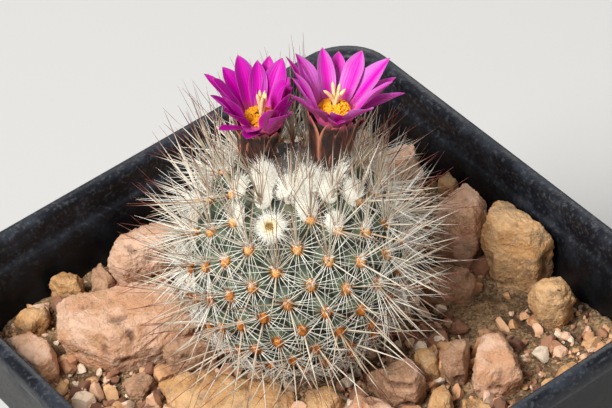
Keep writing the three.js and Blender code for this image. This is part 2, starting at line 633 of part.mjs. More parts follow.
// Blade with a shallow keel: stations along a curve, each with a half width, top and back 0.6 apart
function bladeSolid(stations, thickness = 0.62) {
  const points = [];
  const faces = [];
  for (const { at, across, up, half, keel } of stations) {
    const rows = [[-half, keel], [0, 0], [half, keel]];
    for (const lower of [0, 1]) {
      for (const [x, lift] of rows) {
        const rise = lift - lower * thickness;
        points.push(at.clone().addScaledVector(across, x).addScaledVector(up, rise).toArray());
      }
    }
  }
  for (let s = 0; s + 1 < stations.length; s += 1) {
    const a = s * 6;
    const b = a + 6;
    for (const k of [0, 1]) {
      faces.push([a + k, a + k + 1, b + k + 1], [a + k, b + k + 1, b + k]);
      faces.push([a + 3 + k, b + 4 + k, a + 4 + k], [a + 3 + k, b + 3 + k, b + 4 + k]);
    }
    faces.push([a, b, b + 3], [a, b + 3, a + 3], [a + 2, a + 5, b + 5], [a + 2, b + 5, b + 2]);
  }
  const end = (stations.length - 1) * 6;
  faces.push([0, 3, 4], [0, 4, 1], [1, 4, 5], [1, 5, 2]);
  faces.push([end, end + 4, end + 3], [end, end + 1, end + 4]);
  faces.push([end + 1, end + 5, end + 4], [end + 1, end + 2, end + 5]);
  return solidOf(points, faces);
}

// Petal-like blade from a point at a radius and height, tilted from the axis and curving outward
function petal(azimuth, radius, height, length, halfWidth, tilt, curl, shares) {
  const outward = new THREE.Vector3(Math.cos(azimuth), Math.sin(azimuth), 0);
  const across = new THREE.Vector3(Math.sin(azimuth), -Math.cos(azimuth), 0);
  const axis = new THREE.Vector3(0, 0, 1);
  const at = outward.clone().multiplyScalar(radius).addScaledVector(axis, height);
  let before = 0;
  const stations = shares.map(([share, width]) => {
    const lean = tilt + curl * share;
    const step = (share - before) * length;
    at.addScaledVector(outward, step * Math.sin(lean)).addScaledVector(axis, step * Math.cos(lean));
    before = share;
    const up = axis.clone().multiplyScalar(Math.sin(lean)).addScaledVector(outward, -Math.cos(lean));
    return { at: at.clone(), across, up, half: halfWidth * width, keel: 0.3 * width };
  });
  return bladeSolid(stations);
}

const TEPAL_SHAPE = [[0, 0.36], [0.42, 1], [0.76, 0.78], [1, 0.1]];
const SEPAL_SHAPE = [[0, 0.8], [0.5, 1], [1, 0.16]];

// Tepals: two whorls that stand on the rim of a thin throat cup
function buildTepals({ frame, tube, tepals }) {
  const low = tube - CUP_DEPTH;
  const cup = new THREE.LatheGeometry([
    new THREE.Vector2(0.95, low + GAP),
    new THREE.Vector2(CUP_RADII[0], low + GAP),
    new THREE.Vector2(CUP_RADII[1], tube),
    new THREE.Vector2(CUP_RADII[1] + 0.5, tube + 0.9),
    new THREE.Vector2(CUP_RADII[1] - 0.7, tube + 0.9),
    new THREE.Vector2(0.95, low + 1.3),
    new THREE.Vector2(0.95, low + GAP),
  ], 12).rotateX(Math.PI / 2);
  let corolla = solidOfGeometry(cup);
  for (const [azimuth, lean, length, half, outer] of tepals) {
    const blade = petal(azimuth, tepalRoot(outer), tube, length, half, lean, TEPAL_CURL, TEPAL_SHAPE);
    corolla = corolla.add(blade);
  }
  return mainPiece(corolla).transform(frame.toArray());
}

// Receptacle tube with its scales; the top is hollowed to take the throat cup. Scales that face the
// other flower stay short.
function buildTube({ frame, other, tube: length, turn }) {
  const body = new THREE.LatheGeometry([
    new THREE.Vector2(0, -2),
    new THREE.Vector2(TUBE_RADII[0] * 0.9, -2),
    new THREE.Vector2(TUBE_RADII[0], 0),
    new THREE.Vector2(TUBE_RADII[0] + 0.35, length * 0.55),
    new THREE.Vector2(TUBE_RADII[1], length - 0.6),
    new THREE.Vector2(CUP_RADII[1] + GAP - 0.1, length - 0.6),
    new THREE.Vector2(CUP_RADII[0] + GAP, length - CUP_DEPTH),
    new THREE.Vector2(0, length - CUP_DEPTH),
  ], 12).rotateX(Math.PI / 2);
  let tube = solidOfGeometry(body);
  const there = new THREE.Vector3().setFromMatrixPosition(other).applyMatrix4(frame.clone().invert());
  const toward = Math.atan2(there.y, there.x);
  for (let i = 0; i < SCALES; i += 1) {
    const azimuth = i * GOLDEN_ANGLE + turn;
    const height = 1.6 + (i * (length - 4.4)) / (SCALES - 1);
    const room = Math.cos(azimuth - toward) > 0.4 ? SHORT_SCALE : (length - height) / 0.92;
    const long = Math.min(SCALE_LENGTH, room);
    tube = tube.add(petal(azimuth, 1.9 + 0.12 * i, height, long, SCALE_HALF, 0.36, 0.25, SEPAL_SHAPE));
  }
  const crown = new THREE.SphereGeometry(1, 36, 24).rotateX(Math.PI / 2);
  const sunk = CROWN_DEPTH - GAP;
  crown.scale(STEM_RADIUS - sunk, STEM_RADIUS - sunk, STEM_HALF_HEIGHT - sunk);
  return mainPiece(tube.transform(frame.toArray()).subtract(solidOfGeometry(crown, stemFrame)));
}

// Anthers: a ring of filaments, drawn as one sleeve, with knobs all over its head
function buildStamens({ frame, tube }) {
  const foot = tube - CUP_DEPTH + STAMEN_FOOT;
  const sleeve = new THREE.LatheGeometry([
    new THREE.Vector2(0.66, foot),
    new THREE.Vector2(0.98, foot),
    new THREE.Vector2(1.6, foot + 1.6),
    new THREE.Vector2(1.75, foot + 2.2),
    new THREE.Vector2(0.66, foot + 2.4),
    new THREE.Vector2(0.66, foot),
  ], 10).rotateX(Math.PI / 2);
  let bunch = solidOfGeometry(sleeve);
  for (let i = 0; i < STAMEN_KNOBS; i += 1) {
    const azimuth = i * GOLDEN_ANGLE;
    const share = i / STAMEN_KNOBS;
    const r = 1.15 + 0.5 * share;
    const z = foot + 2.7 - 0.6 * share ** 2;
    const knob = new THREE.OctahedronGeometry(0.48).scale(1, 1, 0.8).rotateZ(azimuth);
    knob.translate(r * Math.cos(azimuth), r * Math.sin(azimuth), z);
    bunch = bunch.add(solidOfGeometry(knob));
  }
  return mainPiece(bunch).transform(frame.toArray());
}

// Style with spreading stigma lobes
function buildStigma({ frame, tube, lobes }) {
  const foot = tube - CUP_DEPTH + GAP;
  const head = foot + STYLE_LENGTH;
  const style = new THREE.CylinderGeometry(0.42, 0.42, head - foot, 8).rotateX(Math.PI / 2);
  let stigma = solidOfGeometry(style.translate(0, 0, (head + foot) / 2));
  for (let i = 0; i < 5; i += 1) {
    const lobe = new THREE.CylinderGeometry(0.26, 0.34, LOBE_LENGTH, 6).rotateX(Math.PI / 2);
    lobe.translate(0, 0, LOBE_LENGTH / 2 - 0.1).rotateY(lobes + 0.1 * (i % 2));
    lobe.rotateZ((i / 5) * round).translate(0, 0, head - 0.45);
    stigma = stigma.add(solidOfGeometry(lobe));
  }
  return stigma.transform(frame.toArray());
}

// Bud: a woolly ring round a blunt tip, on its own areole
function buildBud({ centre, out }) {
  const dome = new THREE.LatheGeometry([
    new THREE.Vector2(0, GAP),
    new THREE.Vector2(0.8, GAP),
    new THREE.Vector2(1.5, 0.8),
    new THREE.Vector2(1.35, 1.5),
    new THREE.Vector2(0.8, 1.6),
    new THREE.Vector2(0.6, 1.35),
    new THREE.Vector2(0, 1.75),
  ], 12).rotateX(Math.PI / 2);
  const turn = new THREE.Quaternion().setFromUnitVectors(new THREE.Vector3(0, 0, 1), out);
  const place = new THREE.Matrix4().makeRotationFromQuaternion(turn).setPosition(centre);
  return solidOfGeometry(dome, place);
}

// Soil: fills the pot up to a slightly uneven top, with small pebbles that stand out of it
const soilHeight = (x, y) => {
  const swell = 0.5 * Math.sin(0.21 * x + 1) * Math.cos(0.17 * y);
  return SOIL_TOP + swell + 0.3 * Math.sin(0.5 * x + 0.4 * y);
};

function buildSoil(stones, stemRoot) {
  const edge = squareRing(innerHalf(SOIL_TOP - 1.5) - GAP, 0);
  const top = [1, 0.8, 0.6, 0.35].map((share) => edge.map(([x, y]) => {
    return [x * share, y * share, soilHeight(x * share, y * share)];
  }));
  const rings = [squareRing(innerHalf(FLOOR + GAP) - GAP, FLOOR + GAP), ...top];
  let soil = loftRings(rings, [0, 0, FLOOR + GAP], [0, 0, soilHeight(0, 0)]);
  const roll = dice(3);
  for (let i = 0; i < 42; i += 1) {
    const x = (roll() - 0.5) * 75;
    const y = (roll() - 0.5) * 75;
    const size = 0.8 + 1.3 * roll() ** 2;
    const pebble = new THREE.OctahedronGeometry(size).scale(1.25, 0.9, 0.85);
    pebble.rotateX(roll() * 3).rotateY(roll() * 3).rotateZ(roll() * 3);
    const spot = new THREE.Vector3(x, y, SOIL_TOP + 1);
    const covered = stones.some(({ box }) => box.containsPoint(spot));
    if (covered || Math.hypot(x, y - 3) < 13 || Math.max(Math.abs(x), Math.abs(y)) > 37.5) continue;
    soil = soil.add(solidOfGeometry(pebble.translate(x, y, soilHeight(x, y) + 0.25 * size)));
  }
  for (const { corners } of stones) soil = soil.subtract(hullSolid(drawnOut(corners, GAP)));
  return mainPiece(soil.subtract(stemRoot));
}

// Smooth envelope of the stem's lower half and root neck, a gap larger than the stem
function stemEnvelope(from) {
  const neck = [[0, -27.6], [4.8, -27.2], [6.3, -22.6], [7.2, -18.7]];
  const profile = neck.map(([r, z]) => new THREE.Vector2(r, z));
  for (let polar = 0.86 * Math.PI; polar > from; polar -= 0.05 * Math.PI) {
    const p = stemPoint(polar, 0, -GAP - 0.35);
    profile.push(new THREE.Vector2(p.x, p.z));
  }
  profile.push(new THREE.Vector2(0, profile[profile.length - 1].y));
  return solidOfGeometry(new THREE.LatheGeometry(profile, 24).rotateX(Math.PI / 2), stemFrame);
}

function buildAll() {
  const frames = FLOWERS.map(flowerFrame);
  const root = stemEnvelope(0.3 * Math.PI);
  const stones = [...STONES, ...unseenStones()].map((stone, n) => {
    const corners = stoneCorners(stone, 100 + n);
    return { ...stone, corners, box: new THREE.Box3().setFromPoints(corners) };
  });
  const heights = [FLOOR + 1, POT_HEIGHT + 4];
  const walls = heights.map((z) => squareRing(innerHalf(z) - GAP, z));
  const inside = loftRings(walls, [0, 0, heights[0]], [0, 0, heights[1]]);
  addPart('pot', buildPot(), blackPlastic);
  addPart('potting_soil', buildSoil(stones, root), soilGrit);
  stones.forEach(({ name, corners, stone, box }, n) => {
    let solid = hullSolid(corners).intersect(inside).subtract(root);
    for (const before of stones.slice(0, n)) {
      if (before.box.intersectsBox(box)) solid = solid.subtract(hullSolid(drawnOut(before.corners, GAP)));
    }
    addPart(name, mainPiece(solid), stone);
  });
  const hulls = stones.map(({ corners }) => {
    const hull = new ConvexHull().setFromPoints(corners);
    return hull.faces.map((face) => new THREE.Plane(face.normal, -face.constant));
  });
  const { polar, azimuth } = stemSites()[BUD_SITE];
  const bud = stemPoint(polar, azimuth, 0).applyMatrix4(stemFrame);
  const { solid, sites } = buildStem(clearOf(hulls, frames, bud), frames);
  addPart('cactus_stem', solid, greenStem);
  addPart('crown_wool', buildWool(sites, frames), whiteWool);
  addPart('young_bud', buildBud(sites[BUD_SITE]), budSkin);
  FLOWERS.forEach(({ name, ...shape }, i) => {
    const flower = { ...shape, frame: frames[i], other: frames[1 - i] };
    addPart(`${name}_flower_tube`, buildTube(flower), maroonTube);
    addPart(`${name}_flower_tepals`, buildTepals(flower), magentaTepal);
    addPart(`${name}_flower_anthers`, buildStamens(flower), yellowAnther);
    addPart(`${name}_flower_stigma`, buildStigma(flower), creamStigma);
  });
}

buildAll();

export default potted;
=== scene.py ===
# Potted cactus in flower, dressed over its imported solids. Shapes are worked out in millimetres in the
# frame's own axes, +Z up and the origin under the pot's centre, and put into Blender in metres.
import json
import math

import bpy
import numpy as np
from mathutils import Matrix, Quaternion, Vector
from mathutils.bvhtree import BVHTree


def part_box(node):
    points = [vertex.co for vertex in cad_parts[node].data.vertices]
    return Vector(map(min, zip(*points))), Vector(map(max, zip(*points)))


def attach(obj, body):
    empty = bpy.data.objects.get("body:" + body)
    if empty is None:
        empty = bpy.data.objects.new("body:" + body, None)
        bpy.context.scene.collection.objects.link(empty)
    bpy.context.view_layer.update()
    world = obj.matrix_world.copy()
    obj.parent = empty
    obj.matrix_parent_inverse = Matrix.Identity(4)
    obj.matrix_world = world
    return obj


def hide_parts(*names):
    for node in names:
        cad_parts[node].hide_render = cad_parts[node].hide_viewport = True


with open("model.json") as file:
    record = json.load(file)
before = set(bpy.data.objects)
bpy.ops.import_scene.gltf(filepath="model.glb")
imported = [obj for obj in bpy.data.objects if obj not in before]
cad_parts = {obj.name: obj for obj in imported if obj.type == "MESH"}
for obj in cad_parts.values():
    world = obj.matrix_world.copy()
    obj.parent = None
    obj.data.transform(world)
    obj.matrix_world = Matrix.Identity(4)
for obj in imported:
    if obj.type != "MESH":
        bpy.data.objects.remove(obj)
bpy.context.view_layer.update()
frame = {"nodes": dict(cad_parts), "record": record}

mm = 0.001

# Pot: a square, tapered nursery pot, pressed in one piece from thin black plastic. A thicker collar and a
# rolled lip stiffen its rim, and five drainage holes go through the floor. It only stands on its foot.


class Shade:
    """A socket of a finish, so that shader maths reads as plain expressions."""

    def __init__(self, finish, socket):
        self.finish = finish
        self.socket = socket

    def maths(self, operation, *values):
        return self.finish.node("ShaderNodeMath", {"operation": operation}, dict(enumerate(values)))

    def __add__(self, other):
        return self.maths("ADD", self, other)

    def __sub__(self, other):
        return self.maths("SUBTRACT", self, other)

    def __rsub__(self, other):
        return self.maths("SUBTRACT", other, self)

    def __mul__(self, other):
        return self.maths("MULTIPLY", self, other)

    def size(self):
        return self.maths("ABSOLUTE", self)

    __radd__ = __add__
    __rmul__ = __mul__


class Finish:
    """A material round one Principled shader, whose other nodes are added one at a time."""

    def __init__(self, name, **fixed):
        self.material = bpy.data.materials.new(name)
        self.material.use_nodes = True
        self.tree = self.material.node_tree
        self.shader = self.tree.nodes["Principled BSDF"]
        for socket, value in fixed.items():
            self.shader.inputs[socket.replace("_", " ")].default_value = value
        self.place = self.node("ShaderNodeTexCoord", out=3)

    def node(self, kind, settings={}, sockets={}, out=0):
        """Any node. Colours are given as red, green and blue on a screen. A ramp's stops are pairs of place
        and colour, the first at 0 and the last at 1."""
        node = self.tree.nodes.new(kind)
        for key, value in settings.items():
            if key == "stops":
                for place, _ in value[1:-1]:
                    node.color_ramp.elements.new(place)
                for element, (_, colour) in zip(node.color_ramp.elements, value):
                    element.color = paint(*colour)
            else:
                setattr(node, key, value)
        for key, value in sockets.items():
            if isinstance(value, Shade):
                self.tree.links.new(value.socket, node.inputs[key])
            elif isinstance(value, tuple):
                node.inputs[key].default_value = paint(*value)
            else:
                node.inputs[key].default_value = value
        return Shade(self, node.outputs[out])

    def noise(self, size, detail=4):
        """Cloudy noise from 0 to 1 whose patches are about size millimetres across."""
        sockets = {"Vector": self.place, "Scale": 1 / (size * mm), "Detail": detail, "Roughness": 0.6}
        return self.node("ShaderNodeTexNoise", {}, sockets)

    def step(self, value, low, high):
        """0 below low, 1 above high, with a smooth change between."""
        sockets = {"Value": value, "From Min": low, "From Max": high}
        return self.node("ShaderNodeMapRange", {"interpolation_type": "SMOOTHSTEP"}, sockets)

    def mix(self, share, first, second):
        return self.node("ShaderNodeMix", {"data_type": "RGBA"}, {0: share, 6: first, 7: second}, 2)

    def ramp(self, value, *stops):
        return self.node("ShaderNodeValToRGB", {"stops": stops}, {0: value})

    def own(self, name):
        """A number that the piece's mesh carries at each point."""
        return self.node("ShaderNodeAttribute", {"attribute_name": name}, {}, 2)

    def height(self):
        return self.node("ShaderNodeSeparateXYZ", {}, {0: self.place}, 2)

    def wear(self, **shades):
        for socket, shade in shades.items():
            self.tree.links.new(shade.socket, self.shader.inputs[socket.replace("_", " ")])

    def coats(self, colour, *layers):
        """Base colour: layers, each a share and a colour, laid one over another on the first colour."""
        for share, layer in layers:
            colour = self.mix(share, colour, layer)
        self.wear(Base_Color=colour)

    def relief(self, height, depth):
        """Bump of that depth in millimetres where height goes from 0 to 1."""
        sockets = {"Height": height, "Distance": depth * mm, "Strength": 1.0}
        self.wear(Normal=self.node("ShaderNodeBump", {}, sockets))


def paint(red, green, blue):
    """Linear colour of a screen colour given from 0 to 255."""
    part = np.array([red, green, blue]) / 255
    linear = np.where(part < 0.04045, part / 12.92, ((part + 0.055) / 1.055) ** 2.4)
    return (*(float(x) for x in linear), 1.0)


def skins(rings):
    """Closed skins, each a stack of rings that run counter-clockwise seen from the last ring. Rings is an
    array of skins, rows, columns and x, y, z. Quads join the rows, and a flat face closes each end."""
    count, rows, columns = rings.shape[:3]
    index = np.arange(count * rows * columns).reshape(count, rows, columns)
    on = np.roll(index, -1, axis=2)
    quads = np.stack([index[:, :-1], on[:, :-1], on[:, 1:], index[:, 1:]], axis=-1).reshape(-1, 4)
    return rings.reshape(-1, 3), [quads, index[:, 0, ::-1], index[:, -1]]


def carry(mesh, **numbers):
    """Gives a mesh numbers that its material reads at each point."""
    for key, values in numbers.items():
        column = mesh.attributes.new(key, "FLOAT", "POINT")
        column.data.foreach_set("value", np.ascontiguousarray(values, dtype=np.float32).ravel())


def make_piece(name, shape, finish, slot, stands_for=(), crease=180, **carried):
    """Mesh of a shape (points in millimetres, arrays of faces) on the one body. Edges sharper than crease
    degrees stay crisp, and carried numbers become attributes of its points."""
    points, face_sets = shape
    sizes = np.concatenate([np.full(len(faces), faces.shape[1]) for faces in face_sets])
    corners = np.concatenate([faces.ravel() for faces in face_sets]).astype(np.int32)
    mesh = bpy.data.meshes.new(name)
    mesh.vertices.add(len(points))
    mesh.vertices.foreach_set("co", (points * mm).astype(np.float32).ravel())
    mesh.loops.add(len(corners))
    mesh.loops.foreach_set("vertex_index", corners)
    mesh.polygons.add(len(sizes))
    mesh.polygons.foreach_set("loop_start", (np.cumsum(sizes) - sizes).astype(np.int32))
    mesh.update(calc_edges=True)
    carry(mesh, **carried)
    mesh.validate()
    mesh.shade_smooth()
    mesh.set_sharp_from_angle(angle=math.radians(crease))
    mesh.materials.append(finish.material)
    piece = bpy.data.objects.new(name, mesh)
    bpy.context.scene.collection.objects.link(piece)
    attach(piece, "root")
    if stands_for:
        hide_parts(*stands_for)
    return piece


def settle(piece):
    """Applies the piece's modifiers to its mesh."""
    shown = piece.evaluated_get(bpy.context.evaluated_depsgraph_get())
    mesh = bpy.data.meshes.new_from_object(shown)
    piece.modifiers.clear()
    piece.data = mesh


pot_high = np.array(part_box("pot")[1]) / mm
rim_half = pot_high[0]
rim_height = pot_high[2]
rim_lip = 2.8
rim_band = 4.0
rim_corner = 9.5
ledge = rim_height - 5.7
collar_foot = 70.0
pot_wall = 1.4
floor_top = 3.0
floor_half = 31.0
drain_radius = 4.0
drain_at = 15.0
pot_crease = 40


def inner_half(z):
    """Half width inside the pot: straight from the floor up to the ledge below the lip."""
    top_half = rim_half - rim_lip - 1
    return floor_half + (z - floor_top) * (top_half - floor_half) / (ledge - floor_top)


def square_rings(half, z, steps):
    """Rounded squares: corner circles whose radius shrinks a little with the half width."""
    half = np.asarray(half, float)[:, None]
    radius = rim_corner - 0.27 * (rim_half - half)
    quarter = np.repeat(np.arange(4), steps + 1)
    angle = (quarter + np.tile(np.linspace(0, 1, steps + 1), 4)) * math.pi / 2
    side = (quarter + 0.5) * math.pi / 2
    x = np.sign(np.cos(side)) * (half - radius) + radius * np.cos(angle)
    y = np.sign(np.sin(side)) * (half - radius) + radius * np.sin(angle)
    return np.stack([x, y, np.broadcast_to(np.asarray(z, float)[:, None], x.shape)], axis=-1)


def eased(outline, reach, steps):
    """Outline with rounded corners: each corner becomes the quadratic arc between the points that lie
    reach before and after it, or half an edge where the edge is short."""
    corner = outline[1:-1]
    ends = []
    for neighbour in (outline[:-2], outline[2:]):
        edge = neighbour - corner
        share = np.minimum(reach / np.linalg.norm(edge, axis=1), 0.5)[:, None]
        ends.append(corner + edge * share)
    t = np.linspace(0, 1, steps)[:, None, None]
    arc = (1 - t) ** 2 * ends[0] + 2 * t * (1 - t) * corner + t ** 2 * ends[1]
    return np.vstack([outline[:1], arc.transpose(1, 0, 2).reshape(-1, 2), outline[-1:]])


def moulded_plastic():
    """Black plastic: grey-blue scuffs and dust lie on the rim, finer dust further down, and a painted
    highlight lightens the whole rim band.
    """
    finish = Finish("moulded_plastic", Specular_IOR_Level=0.22)
    dust = finish.step(finish.noise(5, 8), 0.42, 0.72)
    scratches = finish.step(finish.noise(0.7, 6), 0.5, 0.68)
    near_rim = finish.step(finish.height(), (ledge - 6) * mm, rim_height * mm)
    dusty = dust * (0.2 + 0.8 * near_rim)
    # The near_rim layer (20, 22, 26) is a painted highlight on the lit rim band; the dust and scuffs lie
    # over it.
    finish.coats((8, 9, 10), (near_rim, (20, 22, 28)), (dusty * 0.6, (52, 57, 66)),
                 (scratches * near_rim * 0.25, (112, 114, 116)))
    finish.wear(Roughness=0.36 + 0.3 * dusty + 0.1 * scratches)
    finish.relief(finish.noise(0.5, 3) * 0.4 + finish.noise(3, 2), 0.07)
    return finish


def pot_shape():
    """The pot's outline from under its floor, up the outside, over the lip and down to the floor."""
    lip = rim_half - rim_lip
    band = rim_height - rim_band
    outline = np.array([
        [18, 1.2], [23.4, 1.2], [24, 0], [inner_half(0) + pot_wall - 0.4, 0],
        [inner_half(collar_foot) + pot_wall, collar_foot - 0.8],
        [rim_half - 1.6, collar_foot], [rim_half - 1.4, band], [rim_half, band + 0.4],
        [rim_half, rim_height], [lip, rim_height], [lip, ledge + 0.4],
        [inner_half(ledge), ledge], [floor_half, floor_top], [floor_half - 6, floor_top],
    ])
    outline = eased(outline, 1.3, 5)
    return skins(square_rings(outline[:, 0], outline[:, 1], 10)[None])


def full_turn(steps):
    """Angles of a full turn in equal steps."""
    return np.arange(steps) / steps * 2 * math.pi


def drain_cutters(turns=24):
    """Five upright cylinders where the drainage holes are."""
    angle = full_turn(turns)
    circle = drain_radius * np.stack([np.cos(angle), np.sin(angle)], axis=-1)
    spots = drain_at * np.array([[0, 0], [1, 1], [1, -1], [-1, 1], [-1, -1]])
    flat = spots[:, None, None] + circle[None, None]
    rings = np.broadcast_to(flat, (5, 2, turns, 2))
    level = np.broadcast_to(np.array([-2.0, 6.0])[None, :, None, None], (5, 2, turns, 1))
    return skins(np.concatenate([rings, level], axis=-1))


black_plastic = moulded_plastic()
nursery_pot = make_piece("nursery_pot", pot_shape(), black_plastic, "black_plastic", ["pot"], pot_crease)
cutters = make_piece("drain_cutters", drain_cutters(), black_plastic, "black_plastic", (), pot_crease)
drill = nursery_pot.modifiers.new("drain holes", "BOOLEAN")
drill.operation = "DIFFERENCE"
drill.object = cutters
settle(nursery_pot)
bpy.data.objects.remove(cutters)

# Potting soil: brown grit and crumbs, poured into the pot and settled a little below the ledge. The
# stones are pressed into it, and its top is uneven where it was watered.

soil_top = 73.0
soil_sides = 250
# Each size of crumb, and how far it rises
crumb_sizes = [(3.4, 0.4), (1.3, 0.28), (0.62, 0.17)]


def lattice_noise(points, size, seed):
    """Smooth random number from -1 to 1 at each point: the corners of a cubic lattice of that size get
    hashed random numbers, and the eight round a point are blended with smoothstep weights."""
    cell = np.floor(points / size).astype(np.int64)
    part = points / size - cell
    part = part * part * (3 - 2 * part)
    total = np.zeros(points.shape[:-1])
    for corner in np.ndindex(2, 2, 2):
        at = cell + np.array(corner)
        key = (at @ np.array([73856093, 19349663, 83492791]) + seed * 2654435) & 0xFFFFFFFF
        key = ((key ^ (key >> 13)) * 1274126177) & 0xFFFFFFFF
        value = ((key ^ (key >> 16)) & 0xFFFF) / 32767.5 - 1
        weight = np.where(np.array(corner) == 1, part, 1 - part).prod(axis=-1)
        total += weight * value
    return total


def soil_level(x, y):
    """Height of the soil's even top: two slow waves."""
    swell = 0.5 * np.sin(0.21 * x + 1) * np.cos(0.17 * y)
    return soil_top + swell + 0.3 * np.sin(0.5 * x + 0.4 * y)


def soil_shape():
    """Square grid drawn in to the pot's rounded corners, raised by the soil's level and crumbs of three
    sizes, with sides that follow the pot down to its floor."""
    half = inner_half(soil_top)
    radius = rim_corner - 0.27 * (rim_half - half)
    line = np.linspace(-half, half, soil_sides + 1)
    grid = np.stack(np.meshgrid(line, line, indexing="ij"), axis=-1)
    over = np.abs(grid) - (half - radius)
    reach = np.linalg.norm(np.maximum(over, 1e-9), axis=-1, keepdims=True)
    corner = (over > 0).all(axis=-1, keepdims=True) & (reach > radius)
    flat = np.where(corner, half - radius + over * radius / reach, np.abs(grid)) * np.sign(grid)
    top = np.concatenate([flat, np.zeros_like(flat[..., :1])], axis=-1)
    crumbs = sum(depth * lattice_noise(top, size, seed) for seed, (size, depth) in enumerate(crumb_sizes))
    top[..., 2] = soil_level(top[..., 0], top[..., 1]) + crumbs
    side = soil_sides + 1
    index = np.arange(side * side).reshape(side, side)
    quads = np.stack([index[:-1, :-1], index[1:, :-1], index[1:, 1:], index[:-1, 1:]], axis=-1)
    border = np.concatenate([index[:-1, 0], index[-1, :-1], index[:0:-1, -1], index[0, :0:-1]])
    points = top.reshape(-1, 3)
    foot = points[border].copy()
    foot[:, :2] *= (inner_half(floor_top) - 0.3) / half
    foot[:, 2] = floor_top + 0.3
    low = side * side + np.arange(len(border))
    sides = np.stack([low, np.roll(low, -1), np.roll(border, -1), border], axis=-1)
    crumb = np.concatenate([crumbs.ravel(), np.zeros(len(border))])
    return (np.vstack([points, foot]), [quads.reshape(-1, 4), sides, low[None, ::-1]]), crumb


def potting_grit():
    """Brown soil: paler sandy grains on dark crumbs, with painted shade where it lies low between the
    crumbs.
    """
    finish = Finish("potting_grit", Roughness=0.95, Specular_IOR_Level=0.2)
    grains = finish.node("ShaderNodeTexVoronoi", {}, {"Vector": finish.place, "Scale": 1 / (0.34 * mm)}, 1)
    speck = finish.node("ShaderNodeSeparateXYZ", {}, {0: grains}, 0)
    # Painted shade: the soil is darkened where the crumbs dip low.
    low = finish.step(finish.own("crumb"), 0.1, -0.6)
    finish.coats((88, 68, 48), (finish.step(finish.noise(9, 4), 0.35, 0.65), (136, 108, 78)),
                 (finish.step(speck, 0.6, 0.85) * 0.4, (190, 160, 122)),
                 (finish.step(speck, 0.3, 0.1) * 0.6, (62, 46, 36)), (low * 0.55, (48, 36, 28)))
    finish.relief(finish.noise(0.35, 5), 0.16)
    return finish


soil_mesh, soil_crumb = soil_shape()
make_piece("soil_crumbs", soil_mesh, potting_grit(), "potting_grit", ["potting_soil"], crumb=soil_crumb)

# Top dressing: broken limestone laid round the plant, pink, ochre and brown. Each big stone is its CAD
# solid worn rough, pressed into the soil, with pits and flakes in its faces.

stone_grain = 0.36
lump_size = 4.2
lump_height = 0.3
pit_size = 2.1
pit_depth = 0.9
flake_size = 2.6
flake_step = 0.28


def triples(items, key, kind=np.float32):
    """The three numbers of that key for every item of a mesh."""
    found = np.empty(len(items) * 3, kind)
    items.foreach_get(key, found)
    return found.reshape(-1, 3)


def solid_of(*nodes):
    """Points in millimetres and triangles of CAD solids, with shared corners merged."""
    points, triangles = [], []
    count = 0
    for name in nodes:
        mesh = frame["nodes"][name].data
        mesh.calc_loop_triangles()
        rounded = np.round(triples(mesh.vertices, "co") / mm, 3)
        merged, place = np.unique(rounded, axis=0, return_inverse=True)
        points.append(merged)
        triangles.append(place.ravel()[triples(mesh.loop_triangles, "vertices", np.int32)] + count)
        count += len(merged)
    return np.vstack(points), np.vstack(triangles)


def limestone(name, pale, deep, stain):
    """Broken stone: patches of two tones, stains, dusty high spots and dark pits."""
    finish = Finish(name, Roughness=0.88, Specular_IOR_Level=0.25)
    grain = finish.noise(0.45, 6)
    # The wear number is the depth of the pits, flakes and roughness; the stone is darker where it is sunk.
    low = finish.step(finish.own("wear"), -0.1, -0.55)
    specks = finish.step(finish.noise(0.7, 4), 0.62, 0.7)
    finish.coats(deep, (finish.step(finish.noise(6, 6), 0.38, 0.6), pale),
                 (finish.step(finish.noise(2.6, 8), 0.5, 0.68) * 0.7, stain),
                 (finish.step(grain, 0.5, 0.72) * 0.4, (222, 196, 168)),
                 (low * 0.6 + specks * 0.3, (84, 56, 42)))
    finish.relief(grain * 0.8 + finish.noise(1.4, 6), 0.5)
    return finish


stone_finishes = {
    "pink_stone": limestone("pink_limestone", (218, 178, 150), (198, 146, 110), (176, 134, 92)),
    "ochre_stone": limestone("ochre_limestone", (210, 168, 120), (188, 138, 86), (140, 118, 96)),
    "brown_stone": limestone("brown_limestone", (190, 148, 116), (152, 112, 84), (122, 100, 82)),
}


def rough_stone(node, slot, seed):
    """CAD stone remeshed to an even grain, then moved along its normals by lumps, pits (the square of a
    noise where it is above 0), flakes (what rounding takes off a noise) and fine roughness."""
    points, triangles = solid_of(node)
    piece = make_piece(node + "_rough", (points, [triangles]), stone_finishes[slot], slot, [node])
    grain = piece.modifiers.new("even grain", "REMESH")
    grain.mode = "VOXEL"
    grain.voxel_size = stone_grain * mm
    settle(piece)
    mesh = piece.data
    normal = triples(mesh.vertex_normals, "vector")
    place = triples(mesh.vertices, "co") / mm
    lumps = lump_height * lattice_noise(place, lump_size, seed)
    pits = -pit_depth * np.maximum(lattice_noise(place, pit_size, seed + 1), 0) ** 2
    flakes = lattice_noise(place * [1, 1, 2.2], flake_size, seed + 3) * 2.5
    flakes = flake_step * (np.round(flakes) - flakes)
    rough = 0.13 * lattice_noise(place, 0.8, seed + 2)
    pits = pits + flakes
    place = place + (lumps + pits + rough)[:, None] * normal
    mesh.vertices.foreach_set("co", (place * mm).astype(np.float32).ravel())
    # Carried as wear: how deep the pits, flakes and roughness sink the surface.
    carry(mesh, wear=pits + rough)
    mesh.materials.clear()
    mesh.materials.append(stone_finishes[slot].material)
    mesh.shade_smooth()


stone_slots = {part["node"]: part["material_slot"] for part in frame["record"]["subparts"]
               if part["material_slot"] in stone_finishes}
for number, (stone, slot) in enumerate(stone_slots.items()):
    rough_stone(stone, slot, 10 * number)

# Gravel: chips that broke off the same stone, scattered over the soil between the big ones. They lie
# loose, thickest towards the pot's near corners, and the soil shows through between them.

